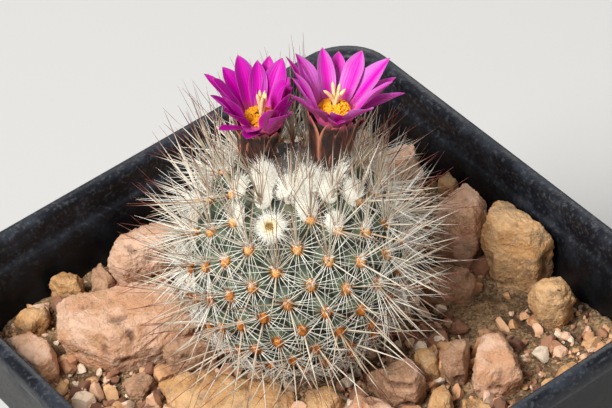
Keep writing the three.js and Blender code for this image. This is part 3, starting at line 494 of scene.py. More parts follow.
# Each kind's name, count, least and greatest size, and the rows and columns of its chips
chip_kinds = [("fine_gravel", 1500, 0.35, 0.9, 5, 7), ("coarse_gravel", 420, 0.9, 2.3, 7, 10)]
bare_patch = np.array([26.0, -13.0])
bare_reach = 8.0
stem_clearance = 8.5
chip_faces = 6
chip_crease = 25


def unit(vectors):
    """The same directions with length 1."""
    return vectors / np.linalg.norm(vectors, axis=-1, keepdims=True)


def ball(rows, columns, gap):
    """Sphere of radius 1 as rings of points: polar angles from the gap to as much short of half a turn."""
    polar = np.linspace(gap, math.pi - gap, rows)[:, None]
    turn = full_turn(columns)
    return np.stack([-np.sin(polar) * np.cos(turn), np.sin(polar) * np.sin(turn),
                     np.cos(polar) + 0 * turn], axis=-1)


def random_turns(count, dice):
    """Random rotations: the orthogonal part of random matrices, none of them a mirror."""
    turned = np.linalg.qr(dice.normal(size=(count, 3, 3)))[0]
    return turned * np.sign(np.linalg.det(turned))[:, None, None]


def broken_chips(centres, sizes, rows, columns, dice):
    """Chips: spheres of rows by columns points, cut flat where they pass random planes, then stretched
    and turned at random."""
    count = len(centres)
    chips = np.repeat(ball(rows, columns, 0.12)[None], count, axis=0)
    for _ in range(chip_faces):
        plane = unit(dice.normal(size=(count, 1, 1, 3)))
        limit = dice.uniform(0.35, 0.75, size=(count, 1, 1, 1))
        over = np.maximum((chips * plane).sum(axis=-1, keepdims=True) - limit, 0)
        chips = chips - over * plane
    chips *= dice.uniform(0.75, 1.35, size=(count, 1, 1, 3)) * [1.15, 1.0, 0.8]
    chips = np.einsum("nij,nrcj->nrci", random_turns(count, dice), chips) * sizes[:, None, None, None]
    return skins(chips + centres[:, None, None])


def chip_finish():
    """Chips of the same stone, each in its own tone from dark red-brown to pale cream."""
    finish = Finish("chipped_stone", Roughness=0.9, Specular_IOR_Level=0.25)
    tones = finish.ramp(finish.own("tone"), (0.0, (96, 64, 52)), (0.15, (140, 98, 76)),
                        (0.4, (190, 140, 104)), (0.6, (206, 160, 112)),
                        (0.8, (222, 178, 148)), (1.0, (232, 214, 188)))
    stain = finish.step(finish.noise(1.1, 5), 0.45, 0.7)
    finish.coats(tones, (stain * 0.4, (120, 92, 72)))
    finish.relief(finish.noise(0.3, 4), 0.1)
    return finish


stone_points, stone_triangles = solid_of(*stone_slots)
stone_tree = BVHTree.FromPolygons((stone_points * mm).tolist(), stone_triangles.tolist())
chips = chip_finish()
for number, (name, count, low, high, rows, columns) in enumerate(chip_kinds):
    dice = np.random.default_rng(60 + number)
    half = inner_half(soil_top) - high
    spots = dice.uniform(-half, half, size=(count * 3, 2))
    gap = np.linalg.norm(spots - bare_patch, axis=1)
    thinned = dice.uniform(size=len(spots)) < np.clip(gap / bare_reach - 0.4, 0.08, 1)
    clear_of_stem = np.hypot(spots[:, 0], spots[:, 1] - 3) > stem_clearance
    spots = spots[thinned & clear_of_stem]
    above = [Vector((x * mm, y * mm, 0.2)) for x, y in spots]
    open_soil = np.array([stone_tree.ray_cast(spot, Vector((0, 0, -1)))[0] is None for spot in above])
    spots = spots[open_soil][:count]
    sizes = low + (high - low) * dice.uniform(size=len(spots)) ** 2
    level = soil_level(spots[:, 0], spots[:, 1]) + 0.3 * sizes
    shape = broken_chips(np.column_stack([spots, level]), sizes, rows, columns, dice)
    tone = np.repeat(dice.uniform(size=len(spots)), rows * columns)
    make_piece(name, shape, chips, "ochre_stone", (), chip_crease, tone=tone)

# Stem: one soft green globe that leans a little. Its skin stands up in tubercles on a double set of
# spirals, and it narrows below the soil to the neck of the root.

stem_centre = np.array([0.56, 2.0, 93.1])
stem_radius = 17.9
stem_half_height = 19.9
stem_lean = (0.062, 0.094)
spiral_start = 2.251
spiral_offset = 0.56
golden_angle = 2.39996
young_cell = 13.9
old_cell = 26.5
grown_arc = 13.7
last_areole = 0.81 * math.pi
tubercle = 2.2
crown_sites = 15
crown_depth = 1.6
flower_room = 5.0
bud_site = 21
flower_bases = {"left": np.array([-1.3, 6.7, 111.3]), "right": np.array([6.2, -2.2, 110.9])}


def lean_matrix():
    """Turn about X after a turn about Y, as the stem's own axes lie in the pot's."""
    a, b = stem_lean
    about_x = np.array([[1, 0, 0], [0, math.cos(a), -math.sin(a)], [0, math.sin(a), math.cos(a)]])
    about_y = np.array([[math.cos(b), 0, math.sin(b)], [0, 1, 0], [-math.sin(b), 0, math.cos(b)]])
    return about_x @ about_y


stem_axes = lean_matrix()


def stem_profile(polar, depth):
    """Radius and height on the ellipse at a polar angle, moved in by depth along the ellipse's normal."""
    flat = stem_radius * np.sin(polar)
    height = stem_half_height * np.cos(polar)
    normal = np.stack([flat / stem_radius ** 2, height / stem_half_height ** 2])
    normal /= np.linalg.norm(normal, axis=0)
    return flat - depth * normal[0], height - depth * normal[1]


def stem_point(polar, azimuth, depth):
    """Point of the stem in the pot's frame."""
    flat, height = stem_profile(polar, depth)
    local = np.stack([flat * np.cos(azimuth), flat * np.sin(azimuth), height + 0 * azimuth], axis=-1)
    return stem_centre + local @ stem_axes.T


def spiral_sites(steps=2000):
    """Polar angle and azimuth of each areole. Along the meridian the ring area over the cell area is
    summed, and a new areole, a golden angle on, comes each time the sum passes the next whole number."""
    polar = last_areole * np.arange(1, steps + 1) / steps
    flat, height = stem_profile(np.concatenate([[1e-9], polar]), 0)
    ds = np.hypot(np.diff(flat), np.diff(height))
    cell = young_cell + (old_cell - young_cell) * np.minimum(np.cumsum(ds) / grown_arc, 1)
    count = np.cumsum(2 * math.pi * flat[1:] * ds / cell)
    wanted = np.arange(int(count[-1] - spiral_offset) + 1) + spiral_offset
    first = np.searchsorted(count, wanted)
    return polar[first], spiral_start + wanted * golden_angle


site_polar, site_azimuth = spiral_sites()
site_skin = stem_point(site_polar, site_azimuth, 0)
site_out = stem_point(site_polar, site_azimuth, -1) - site_skin
site_number = np.arange(len(site_polar))
under_flower = np.zeros(len(site_polar), bool)
for flower_base in flower_bases.values():
    under_flower |= np.linalg.norm(site_skin - flower_base, axis=1) < flower_room
site_bare = (site_number < crown_sites) | under_flower


def stem_shape(rows=150, columns=300):
    """Rings down the ellipse, moved in by the tubercles' depth, then the neck. With d1 and d2 the ways to
    the two nearest areoles, the depth grows from the tip as (2 d1 / (d1 + d2)) ** 1.5 to the valley."""
    polar = np.linspace(0.01, 0.86 * math.pi, rows)[:, None]
    azimuth = full_turn(columns)[None]
    even = stem_point(polar + 0 * azimuth, azimuth + 0 * polar, 0)
    gaps = np.linalg.norm(even[..., None, :] - site_skin, axis=-1)
    order = np.argpartition(gaps, 1, axis=-1)[..., :2]
    nearest = np.take_along_axis(gaps, order, axis=-1) + 1e-6
    tip = np.where(site_bare, crown_depth, 0.35)[order]
    valley = np.where(site_bare, crown_depth + 0.2, tubercle)[order]
    share = np.minimum(2 * nearest[..., 0] / nearest.sum(axis=-1), 1) ** 1.5
    own = tip[..., 0] + (valley[..., 0] - tip[..., 0]) * share
    weight = nearest ** -8.0
    depth = (weight[..., 0] * own + weight[..., 1] * valley[..., 1]) / weight.sum(axis=-1)
    depth = depth * np.clip((0.86 * math.pi - polar) / (0.06 * math.pi), 0, 1)
    depth += 0.05 * lattice_noise(even, 0.9, 5)
    body = stem_point(polar + 0 * azimuth, azimuth + 0 * polar, depth)
    neck = np.array([[6.6, -18.5], [5.4, -22.5], [4.0, -26.2], [1.5, -27.0]])
    circle = np.stack([np.cos(azimuth[0]), np.sin(azimuth[0])], axis=-1)
    flat = neck[:, None, :1] * circle
    rings = np.concatenate([flat, np.broadcast_to(neck[:, None, 1:], flat.shape[:2] + (1,))], axis=-1)
    rings = np.concatenate([body, stem_centre + rings @ stem_axes.T])[::-1]
    hollow = np.concatenate([share, np.ones((len(neck), columns))])[::-1]
    return skins(rings[None]), hollow


def green_skin():
    """Dull grey-green skin with a waxy bloom, with painted shade in the valleys between the tubercles, and
    dotted with pale flecks.
    """
    finish = Finish("green_skin", Roughness=0.62, Subsurface_Weight=0.12, Subsurface_Scale=0.001)
    hollow = finish.own("hollow")
    flecks = finish.step(finish.noise(0.28, 2), 0.66, 0.74)
    # The hollow layer (26, 36, 26) near the valleys is painted shade between the tubercles.
    finish.coats((62, 78, 56), (finish.step(finish.noise(4, 4), 0.35, 0.65), (88, 102, 76)),
                 (finish.step(hollow, 0.5, 0.0) * 0.6, (128, 128, 84)),
                 (finish.step(hollow, 0.45, 1.0) * 0.85, (26, 36, 26)), (flecks * 0.4, (170, 178, 160)))
    finish.relief(finish.noise(0.3, 3), 0.04)
    return finish


stem_mesh, stem_hollow = stem_shape()
make_piece("stem_body", stem_mesh, green_skin(), "green_stem", ["cactus_stem"], hollow=stem_hollow)

# Areoles: a pad of short orange-brown felt on the tip of each tubercle, from which its spines grow. The
# pads are white with wool near the crown and dark and bare low down.

spined = np.flatnonzero(~site_bare)
pad_length = 1.1
pad_width = 0.72
pad_rise = 0.85


def local_axes(out):
    """For each outward direction: the way down the stem and the way across it."""
    down = unit(np.array([0, 0, -1.0]) + out * out[:, 2:])
    return down, np.cross(out, down)


areole_out = site_out[spined]
areole_down, areole_side = local_axes(areole_out)
areole_root = stem_point(site_polar[spined], site_azimuth[spined], 0.45)
areole_age = np.clip((spined - crown_sites) / (len(site_polar) - crown_sites), 0, 1)


def pad_shape(rows=6, columns=12):
    """Low domes: the radius falls as the cosine and the height grows as the sine of one angle, and
    noise makes them lumpy."""
    rise = np.linspace(-0.5, 1.45, rows)[None, :, None, None]
    turn = full_turn(columns)[None, None, :, None]
    down, side, out = (axis[:, None, None] for axis in (areole_down, areole_side, areole_out))
    spread = np.cos(rise) * (pad_length * np.cos(turn) * down + pad_width * np.sin(turn) * side)
    rings = areole_root[:, None, None] + spread + pad_rise * np.sin(rise) * out
    rings = rings + 0.1 * lattice_noise(rings, 0.45, 8)[..., None] * out
    return skins(rings)


def pad_felt():
    """Orange-brown felt with painted highlights in lit patches, that turns white towards the crown."""
    finish = Finish("areole_felt", Roughness=0.95)
    tufts = finish.noise(0.3, 5)
    # lit: noise patches painted lighter, as painted highlights on the felt's tufts.
    lit = finish.step(tufts, 0.3, 0.7)
    young = finish.mix(lit, (212, 122, 30), (244, 204, 132))
    finish.coats((150, 72, 12), (lit, (230, 144, 46)), (finish.step(finish.own("age"), 0.5, 0.05), young))
    finish.relief(tufts, 0.2)
    return finish


pad_mesh = pad_shape()
pad_age = np.repeat(areole_age, len(pad_mesh[0]) // len(spined))
make_piece("areole_pads", pad_mesh, pad_felt(), "green_stem", age=pad_age)

# Spines: glassy white radials spread flat over the stem from every areole, and longer, stouter centrals
# with red-brown tips stand out between them. They grow from the felt and stay clear of stones and flowers.

radials_each = 22
# The angle of each central spine round its pad, and the share of the areoles that have it
central_angles = np.array([0.26, 3.4, 2.3, 4.3])
central_shares = [0.95, 0.95, 0.6, 0.6]
standing_each = 14
last_standing = 90
sunny_side = np.array([-0.39, -0.62, 0.68])
sunniest = 0.62
least_free = 0.45

in_the_way = [name for name in frame["nodes"] if name in stone_slots or "flower" in name]
bar_points, bar_triangles = solid_of("potting_soil", "pot", *in_the_way)
bar_tree = BVHTree.FromPolygons((bar_points * mm).tolist(), bar_triangles.tolist())


def toward(angle, first, second):
    """Direction at an angle from the first axis to the second: its cosine and sine times the two."""
    return np.cos(angle) * first + np.sin(angle) * second


def rods(path, radii, sides):
    """Round rods along paths of rods, rows and x, y, z: each row is a ring of sides points at its radius,
    in the plane across the rod's chord."""
    chord = unit(path[:, -1] - path[:, 0])
    helper = np.where(np.abs(chord[:, 2:]) < 0.8, [[0, 0, 1.0]], [[1.0, 0, 0]])
    first = unit(np.cross(chord, helper))
    around = toward(full_turn(sides)[:, None], first[:, None], np.cross(chord, first)[:, None])
    return skins(path[:, :, None] + radii[:, :, None, None] * around[:, None])


def free_length(roots, ways, lengths, start=0.6):
    """Lengths cut back to 85% of the way to whatever a straight spine would run into."""
    free = []
    for root, way, length in zip(roots, ways, lengths):
        hit = bar_tree.ray_cast(Vector((root + start * way) * mm), Vector(way), length * mm)[3]
        free.append(length if hit is None else min(length, 0.85 * (hit / mm + start)))
    return np.array(free)


def spine_piece(name, finish, path, thick, fall, sides, dice):
    """Spines along their paths. The radius drops by fall times the way along to the power 1.4. Their points
    carry the share of the way along, and a tint drawn for each spine."""
    along = np.linspace(0, 1, path.shape[1])
    carried = {"along": along[:, None], "tint": dice.uniform(size=(len(path), 1, 1))}
    carried = {key: np.broadcast_to(own, (*path.shape[:2], sides)) for key, own in carried.items()}
    taper = thick[:, None] * (1 - fall * along ** 1.4)
    make_piece(name, rods(path, taper, sides), finish, "green_stem", **carried)


def grow_spines(name, finish, owners, angle, steep, length, radius, bend, rows, sides, dice):
    """Spines of the areoles in owners, whose steepness above the skin, length, radius and bend are drawn
    between two values. Each leaves its pad at its angle round it, bends towards the skin as the square of
    the way along, and tapers to a point. It is left out where too little of its length is free."""
    spans = (steep, length, radius, bend)
    steep, length, radius, bend = (dice.uniform(*span, len(owners)) for span in spans)
    out = areole_out[owners]
    spread = toward(angle[:, None], areole_down[owners], areole_side[owners])
    way = toward(steep[:, None], spread, out)
    root = areole_root[owners] + (0.1 + 0.75 * np.cos(steep))[:, None] * spread + 0.1 * out
    reach = free_length(root, way, length)
    kept = reach > least_free * length
    along = np.linspace(0, 1, rows)[:, None]
    path = root[:, None] + reach[:, None, None] * along * way[:, None]
    path = path - (bend * reach)[:, None, None] * along ** 2 * out[:, None]
    spine_piece(name, finish, path[kept], radius[kept], 0.88, sides, dice)


def spine_finish(name, root, middle, other, tip, tip_from):
    """Glassy spine: orange-brown root, a pale shaft of one of two tones, and a tip that darkens from
    tip_from on."""
    finish = Finish(name, Roughness=0.38)
    along = finish.own("along")
    tint = finish.own("tint")
    tipped = finish.step(along + 0.25 * (tint - 0.5), tip_from, tip_from + 0.3)
    finish.coats(middle, (tint, other), (finish.step(along, 0.13, 0.03), root), (tipped, tip))
    return finish


radial_white = spine_finish(
    "radial_white", (196, 128, 66), (246, 244, 234), (214, 208, 190), (206, 176, 140), 0.8)
central_tan = spine_finish(
    "central_tan", (186, 104, 44), (226, 217, 198), (176, 152, 122), (104, 36, 16), 0.52)

dice = np.random.default_rng(71)
owners = np.repeat(np.arange(len(spined)), radials_each)
angle = np.tile(full_turn(radials_each), len(spined)) + dice.uniform(-0.12, 0.12, len(owners))
grow_spines("radial_spines", radial_white, owners, angle, steep=(0.1, 0.5), length=(3.8, 6.0),
            radius=(0.055, 0.08), bend=(0.02, 0.1), rows=5, sides=5, dice=dice)

dice = np.random.default_rng(72)
owners = np.repeat(np.arange(len(spined)), len(central_angles))
angle = np.tile(central_angles, len(spined)) + dice.uniform(-0.3, 0.3, len(owners))
wanted = dice.uniform(size=len(owners)) < np.tile(central_shares, len(spined))
grow_spines("central_spines", central_tan, owners[wanted], angle[wanted], steep=(0.75, 1.25),
            length=(9.5, 15.0), radius=(0.11, 0.16), bend=(-0.08, 0.03), rows=8, sides=6, dice=dice)

dice = np.random.default_rng(73)
shaded = np.flatnonzero((spined < last_standing) & (areole_out @ sunny_side < sunniest))
owners = np.repeat(shaded, standing_each)
angle = dice.uniform(0, 2 * math.pi, len(owners))
grow_spines("standing_spines", radial_white, owners, angle, steep=(0.45, 1.1), length=(6.0, 10.5),
            radius=(0.06, 0.095), bend=(-0.06, 0.06), rows=6, sides=5, dice=dice)

# Crown wool: the youngest areoles are hidden in white wool, heaped in tufts round the flowers. Thin young
# bristles stand up out of it, and the next areoles outward each keep a tuft.

wool_radius = 7.4
wool_side = 4.16
# The youngest sites are hidden under the flowers
hidden_sites = 3
young_sites = np.arange(hidden_sites, crown_sites)
wool_tufts = site_skin[young_sites[np.cos(site_azimuth[young_sites] - wool_side) > -0.1]]
tuft_height = 2.2
tuft_spread = 1.7
wool_foot = -0.5
hair_radius = 0.045
fibres = 14000
last_tufted = 75
# The first site with wool heads or upright spines, and the first one past them
head_sites = (8, 27)
riser_sites = (6, 44)
head_fibres = 700
bristles_each = 11
risers_each = 8


def wool_lift(polar, azimuth):
    """Height of the wool over the tips: a tuft as a bell curve on each young areole of the sunny side."""
    here = stem_point(polar, azimuth, 0)
    gaps = np.linalg.norm(here[..., None, :] - wool_tufts, axis=-1)
    return wool_foot + tuft_height * np.exp(-((gaps / tuft_spread) ** 2)).max(axis=-1)


def wool_shape(rows=36, columns=90):
    """Closed cushion: rings in along its foot, then back over the tufts, roughened with noise."""
    edge = wool_radius / stem_radius
    turn = full_turn(columns)[None]
    foot = stem_point(np.array([[0.3], [1.0]]) * edge + 0 * turn, turn + np.zeros((2, 1)), crown_depth)
    share = np.linspace(1, 0.02, rows)[:, None] * edge + 0 * turn
    azimuth = turn + 0 * share
    even = stem_point(share, azimuth, 0)
    lift = wool_lift(share, azimuth)
    lift = lift + 0.3 * lattice_noise(even, 1.1, 21) + 0.15 * lattice_noise(even, 0.45, 22)
    rings = np.concatenate([foot, stem_point(share, azimuth, -lift)])
    tall = np.concatenate([np.zeros((2, columns)), np.clip((lift + 0.4) / 1.5, 0, 1)])
    return skins(rings[None]), tall


def wool_finish(name, low_shade, glow):
    """White wool, a little creamy in its folds. Where it lies low, the brown-green crown shows through. The
    glow is painted light: an emission that stands for the light that passes from hair to hair."""
    finish = Finish(name, Roughness=1.0, Subsurface_Weight=0.15, Subsurface_Scale=0.0008,
                    Emission_Strength=glow, Emission_Color=paint(250, 246, 236))
    strands = finish.noise(0.35, 6)
    thin = finish.step(finish.own("tall") + 0.5 * (strands - 0.5), 0.4, 0.1)
    finish.coats((226, 220, 200), (finish.noise(1.2, 4), (252, 250, 244)), (thin * low_shade, (58, 48, 36)))
    finish.relief(strands, 0.3)
    return finish


wool_ground = wool_finish("thin_wool", 0.9, 0.0)
# white_wool glows at 0.32: painted light that brightens the fibres.
wool_white = wool_finish("white_wool", 0.0, 0.32)


def grow_fibres(name, roots, ways, lengths, radius, curl, dice, slot="white_wool", rows=4):
    """Curly fibres: each starts along its way and wanders off sideways as the square of the way along."""
    along = np.linspace(0, 1, rows)[None, :, None]
    drift = dice.normal(size=(len(roots), 1, 3)) * curl
    path = roots[:, None] + lengths[:, None, None] * (along * ways[:, None] + along ** 2 * drift)
    radii = np.broadcast_to(radius * (1 - 0.7 * along[..., 0]), (len(roots), rows))
    make_piece(name, rods(path, radii, 3), wool_white, slot)


def free_sites(span):
    """Whether each site is in a span of numbers, and clear of the flowers and the bud."""
    inside = (site_number >= span[0]) & (site_number < span[1])
    return inside & ~under_flower & (site_number != bud_site)


def crown_spines(name, sites, ways, lengths, depth, rise, least, radius, dice, rows=7, sides=5):
    """Straight thin spines from under the skin of these sites, tapered to a point, with one radius or one
    drawn between two. One is left out where less than the least share of its length is free."""
    ways = unit(ways)
    roots = stem_point(site_polar[sites], site_azimuth[sites], depth) + rise * ways
    reach = free_length(roots, ways, lengths, 0.3)
    kept = reach > least * lengths
    along = np.linspace(0, 1, rows)[:, None]
    path = roots[kept, None] + reach[kept, None, None] * along * ways[kept, None]
    thick = dice.uniform(*radius, kept.sum()) if len(radius) == 2 else np.full(kept.sum(), radius[0])
    spine_piece(name, central_tan, path, thick, 0.85, sides, dice)


wool_cushion, wool_tall = wool_shape()
make_piece("wool_tufts", wool_cushion, wool_ground, "white_wool", ["crown_wool"], tall=wool_tall)

dice = np.random.default_rng(81)
polar = wool_radius / stem_radius * np.sqrt(dice.uniform(size=fibres)) * 1.03
azimuth = dice.uniform(0, 2 * math.pi, fibres)
lift = wool_lift(polar, azimuth)
high = np.clip((lift + 0.5) / 1.6, 0, 1)
roots = stem_point(polar, azimuth, -lift + 0.2)
upright = stem_point(polar, azimuth, -1) - stem_point(polar, azimuth, 0)
ways = upright + (0.5 - 0.15 * high)[:, None] * dice.normal(size=(fibres, 3))
dense = dice.uniform(size=fibres) < 0.02 + 0.98 * high
long = (0.6 + 1.2 * high) * dice.uniform(0.6, 1.1, fibres)
grow_fibres("wool_fibres", roots[dense], ways[dense], long[dense], hair_radius, 0.2, dice)

tufted = spined[spined < last_tufted]
strands = np.maximum(160 - 3 * (tufted - crown_sites), 24)
owners = np.repeat(np.searchsorted(spined, tufted), strands)
upper = -0.75 * areole_down[owners] + 0.3 * dice.normal(size=(len(owners), 3))
roots = areole_root[owners] + 0.8 * upper + 0.3 * areole_out[owners]
ways = areole_out[owners] + 0.6 * upper
grow_fibres("areole_tufts", roots, ways, dice.uniform(0.5, 1.1, len(owners)), hair_radius, 0.25, dice)

ring = free_sites(head_sites) & (np.cos(site_azimuth - wool_side) > 0.1)
owners = np.repeat(np.flatnonzero(ring), head_fibres)
out = site_out[owners]
down, side = local_axes(out)
angle = dice.uniform(0, 2 * math.pi, len(owners))[:, None]
from_middle = 1.3 * np.sqrt(dice.uniform(size=(len(owners), 1)))
around = from_middle * toward(angle, down, side)
roots = stem_point(site_polar[owners], site_azimuth[owners], 0.9) + around - 0.5 * down
ways = 0.8 * out + 0.05 * around - 0.75 * down + 0.16 * dice.normal(size=(len(owners), 3))
head_size = dice.uniform(0.75, 1.15, len(site_number))[owners]
lengths = (3.3 - 1.2 * from_middle[:, 0]) * dice.uniform(0.6, 1.05, len(owners)) * head_size
grow_fibres("wool_heads", roots, ways, lengths, 0.06, 0.2, dice)

sites = np.repeat(np.flatnonzero((site_number >= hidden_sites) & site_bare), bristles_each)
down, side = local_axes(site_out[sites])
angle = dice.uniform(0, 2 * math.pi, len(sites))[:, None]
ways = site_out[sites] + 0.4 * toward(angle, down, side) + np.array([0, 0, 0.3])
lengths = dice.uniform(8.0, 16.0, len(sites))
crown_spines("crown_bristles", sites, ways, lengths, depth=1.2, rise=0.3, least=0.5,
             radius=(0.1,), dice=dice)

sites = np.repeat(np.flatnonzero(free_sites(riser_sites)), risers_each)
far = np.cos(site_azimuth[sites] - wool_side) < 0
ways = np.array([0, 0, 1.0]) + 0.12 * site_out[sites] + 0.2 * dice.normal(size=(len(sites), 3))
lengths = dice.uniform(9.0, 15.0, len(sites)) + 3.0 * far
crown_spines("upright_spines", sites, ways, lengths, depth=0.4, rise=0.5, least=0.4,
             radius=(0.07, 0.11), dice=dice)

# Bud: a young bud that has just pushed through its areole, a woolly ring round a yellowish hollow tip. It
# sits in the place of the spines, with fine wool spread round it.

bud_centre = site_skin[bud_site]
bud_out = site_out[bud_site]
bud_down, bud_side = (axis[0] for axis in local_axes(bud_out[None]))
bud_outline = [[0.15, 0.1], [0.9, 0.1], [1.55, 0.8], [1.2, 1.75], [0.7, 1.7], [0.5, 1.1], [0.1, 1.0]]
bud_hairs = 900


def bud_shape(columns=36):
    """Ring turned about the bud's axis: its outline climbs the outside and dips into the tip."""
    outline = eased(np.array(bud_outline), 0.5, 5)
    around = toward(full_turn(columns)[:, None], bud_down, bud_side)
    rings = bud_centre + outline[:, :1, None] * around + outline[:, 1:, None] * bud_out
    rings = rings + 0.2 * lattice_noise(rings, 0.6, 31)[..., None] * bud_out
    rings = rings + 0.16 * lattice_noise(rings, 0.7, 32)[..., None] * around
    inner = np.broadcast_to(np.linspace(0, 1, len(outline))[:, None], (len(outline), columns))
    return skins(rings[None]), inner


def bud_finish():
    """Cream felt that turns yellow-green inside the tip."""
    finish = Finish("bud_felt", Roughness=0.9, Sheen_Weight=0.3)
    inside = finish.step(finish.own("inner") + 0.3 * (finish.noise(0.6, 3) - 0.5), 0.62, 0.8)
    finish.coats((196, 160, 84), (finish.noise(0.4, 5), (244, 234, 204)), (inside, (136, 104, 32)))
    finish.relief(finish.noise(0.2, 4), 0.15)
    return finish


bud_mesh, bud_inner = bud_shape()
make_piece("bud_ring", bud_mesh, bud_finish(), "bud_skin", ["young_bud"], inner=bud_inner)
angle = dice.uniform(0, 2 * math.pi, bud_hairs)[:, None]
around = toward(angle, bud_down, bud_side)
rim = dice.uniform(0.98, 1.6, bud_hairs)[:, None]
roots = bud_centre + rim * around + np.minimum(1.75, 3.1 - 1.6 * rim) * bud_out
ways = (rim - 0.5) * around + (0.2 + 0.4 * dice.normal(size=(bud_hairs, 1))) * bud_out
grow_fibres("bud_hairs", roots, ways, dice.uniform(0.5, 1.3, bud_hairs), hair_radius, 0.5, dice, "bud_skin")

# Flowers: two funnel flowers on scaly maroon tubes, grown out of the wool. The tepals stand in two whorls
# on the rim of the throat, with a ring of yellow anthers and cream stigma lobes inside.

cup_radii = (1.7, 3.2)
cup_depth = 3.2
tube_radii = (2.2, 3.5)
tepal_curl = 0.2
style_length = 5.1
fill_gap = 0.36
anther_grains = 230
flower_crease = 60
# Each tepal's azimuth, lean from the axis, length, half width and whorl (0 inner, 1 outer)
flowers = {
    "left": {"axis": (0.234, -0.041, 1), "tube": 7.4, "turn": 0.3, "seed": 14, "tepals": np.array([
        [0.57, 0.5, 9.1, 1.8, 0], [1.1, 0.45, 8.2, 1.5, 0], [1.51, 0.5, 9.4, 1.8, 0],
        [1.88, 0.6, 8.6, 1.7, 0], [2.46, 0.55, 9.2, 1.6, 0], [3.08, 0.53, 9.8, 1.6, 0],
        [3.31, 0.71, 9.0, 1.5, 0], [3.8, 0.9, 8.4, 1.5, 0], [4.9, 0.2, 8.6, 1.5, 0],
        [5.6, 0.0, 7.6, 1.4, 0], [6.15, 0.05, 7.4, 1.4, 0], [0.84, 0.6, 8.8, 1.4, 1],
        [2.11, 0.8, 9.0, 1.2, 1], [3.41, 1.0, 9.0, 1.0, 1], [3.84, 0.98, 9.0, 1.3, 1],
        [4.26, 0.4, 8.5, 1.4, 1], [4.5, 0.54, 9.0, 1.4, 1],
    ])},
    "right": {"axis": (0.323, 0.104, 1), "tube": 9.4, "turn": 0.84, "seed": 20, "tepals": np.array([
        [0.44, 0.5, 9.6, 1.7, 0], [1.27, 0.45, 9.3, 1.5, 0], [1.93, 0.5, 9.5, 1.8, 0],
        [2.42, 0.3, 8.6, 1.5, 0], [2.94, 0.46, 10.0, 1.4, 0], [4.15, 0.9, 8.4, 1.4, 0],
        [4.65, 0.83, 9.0, 1.4, 0], [5.45, 0.6, 9.2, 1.7, 0], [6.18, 0.6, 10.6, 1.9, 0],
        [0.9, 0.65, 8.9, 1.5, 1], [1.6, 0.8, 8.8, 1.3, 1], [2.11, 0.55, 9.6, 0.9, 1],
        [3.23, 0.77, 9.5, 1.2, 1], [3.65, 0.83, 8.0, 1.4, 1], [4.08, 1.04, 9.0, 1.3, 1],
        [5.9, 1.1, 8.8, 1.2, 1], [6.07, 0.85, 8.8, 1.5, 1],
    ])},
}
# Each stigma lobe's azimuth, how far it spreads and its length
stigma_lobes = {
    "left": [(0.6, 0.0, 3.9), (2.0, 0.3, 4.1), (2.9, 0.7, 4.0), (3.9, 0.5, 3.8), (5.0, 0.0, 3.8)],
    "right": [(3.0, 1.9, 3.2), (1.8, 0.5, 3.6), (0.6, 1.2, 3.1), (5.6, 0.9, 2.9), (4.4, 0.8, 2.5)],
}
for side, flower in flowers.items():
    flower["base"] = flower_bases[side]
    tilt = Vector((0, 0, 1)).rotation_difference(Vector(flower["axis"]).normalized())
    flower["axes"] = np.array(tilt.to_matrix())


def radial(angle):
    """Direction straight away from the flower's axis at an angle, in the flower's own axes."""
    return np.stack([np.cos(angle), np.sin(angle), 0 * angle], axis=-1)


def in_place(points, flower):
    """Points from the flower's own axes into the pot's."""
    return flower["base"] + points @ flower["axes"].T


def blade_skins(blades, flower, rows, columns, widest, foot, thick):
    """Blades from the flower's axis outwards. The middle line leans by lean plus curl times the share s of
    the length. The half width grows as a sine to the widest share and falls as one minus a power to the
    tip. Across, the edges curl up as the square of the way out, and the section is a flat ellipse."""
    azimuth, root, height, length, half, lean, curl = blades[:, :7].T[:, :, None]
    s = np.linspace(0, 1, rows)[None]
    tilt = lean + curl * s
    between = (tilt[:, 1:] + tilt[:, :-1]) / 2
    step = length / (rows - 1)
    start = np.zeros((len(blades), 1))
    outward = root + np.hstack([start, np.cumsum(np.sin(between) * step, axis=1)])
    upward = height + np.hstack([start, np.cumsum(np.cos(between) * step, axis=1)])
    rising = foot + (1 - foot) * np.sin(np.minimum(s / widest, 1) * math.pi / 2)
    falling = 1 - np.clip((s - widest) / (1 - widest), 0, 1) ** 2.3
    width = half * rising * falling + 0.03
    turn = full_turn(columns)
    across = np.cos(turn)
    dice = np.random.default_rng(flower["seed"])
    phase = dice.uniform(0, 6, size=(len(blades), 1, 1))
    wave = 0.14 * np.sin(phase + 7 * s[..., None]) * across * np.abs(across)
    keel = -0.1 * np.exp(-((across / 0.22) ** 2))
    lift = width[..., None] * (0.34 * across ** 2 + wave + keel)
    lift = lift + thick / 2 * np.sin(turn) * (1 - s[..., None] ** 4)
    away = radial(azimuth)[:, :, None]
    aside = np.stack([-np.sin(azimuth), np.cos(azimuth), 0 * azimuth], axis=-1)[:, :, None]
    axis = np.array([0, 0, 1.0])
    inward = np.sin(tilt)[..., None, None] * axis - np.cos(tilt)[..., None, None] * away
    rings = outward[..., None, None] * away + upward[..., None, None] * axis
    rings = rings + (width[..., None] * across)[..., None] * aside + lift[..., None] * inward
    carried = {
        "along": s[..., None],
        "across": across,
        "inside": np.sin(turn),
        "outer": blades[:, 7, None, None],
        "own": dice.uniform(size=(len(blades), 1, 1)),
    }
    carried = {key: np.broadcast_to(values, rings.shape[:3]) for key, values in carried.items()}
    return skins(in_place(rings, flower)), carried


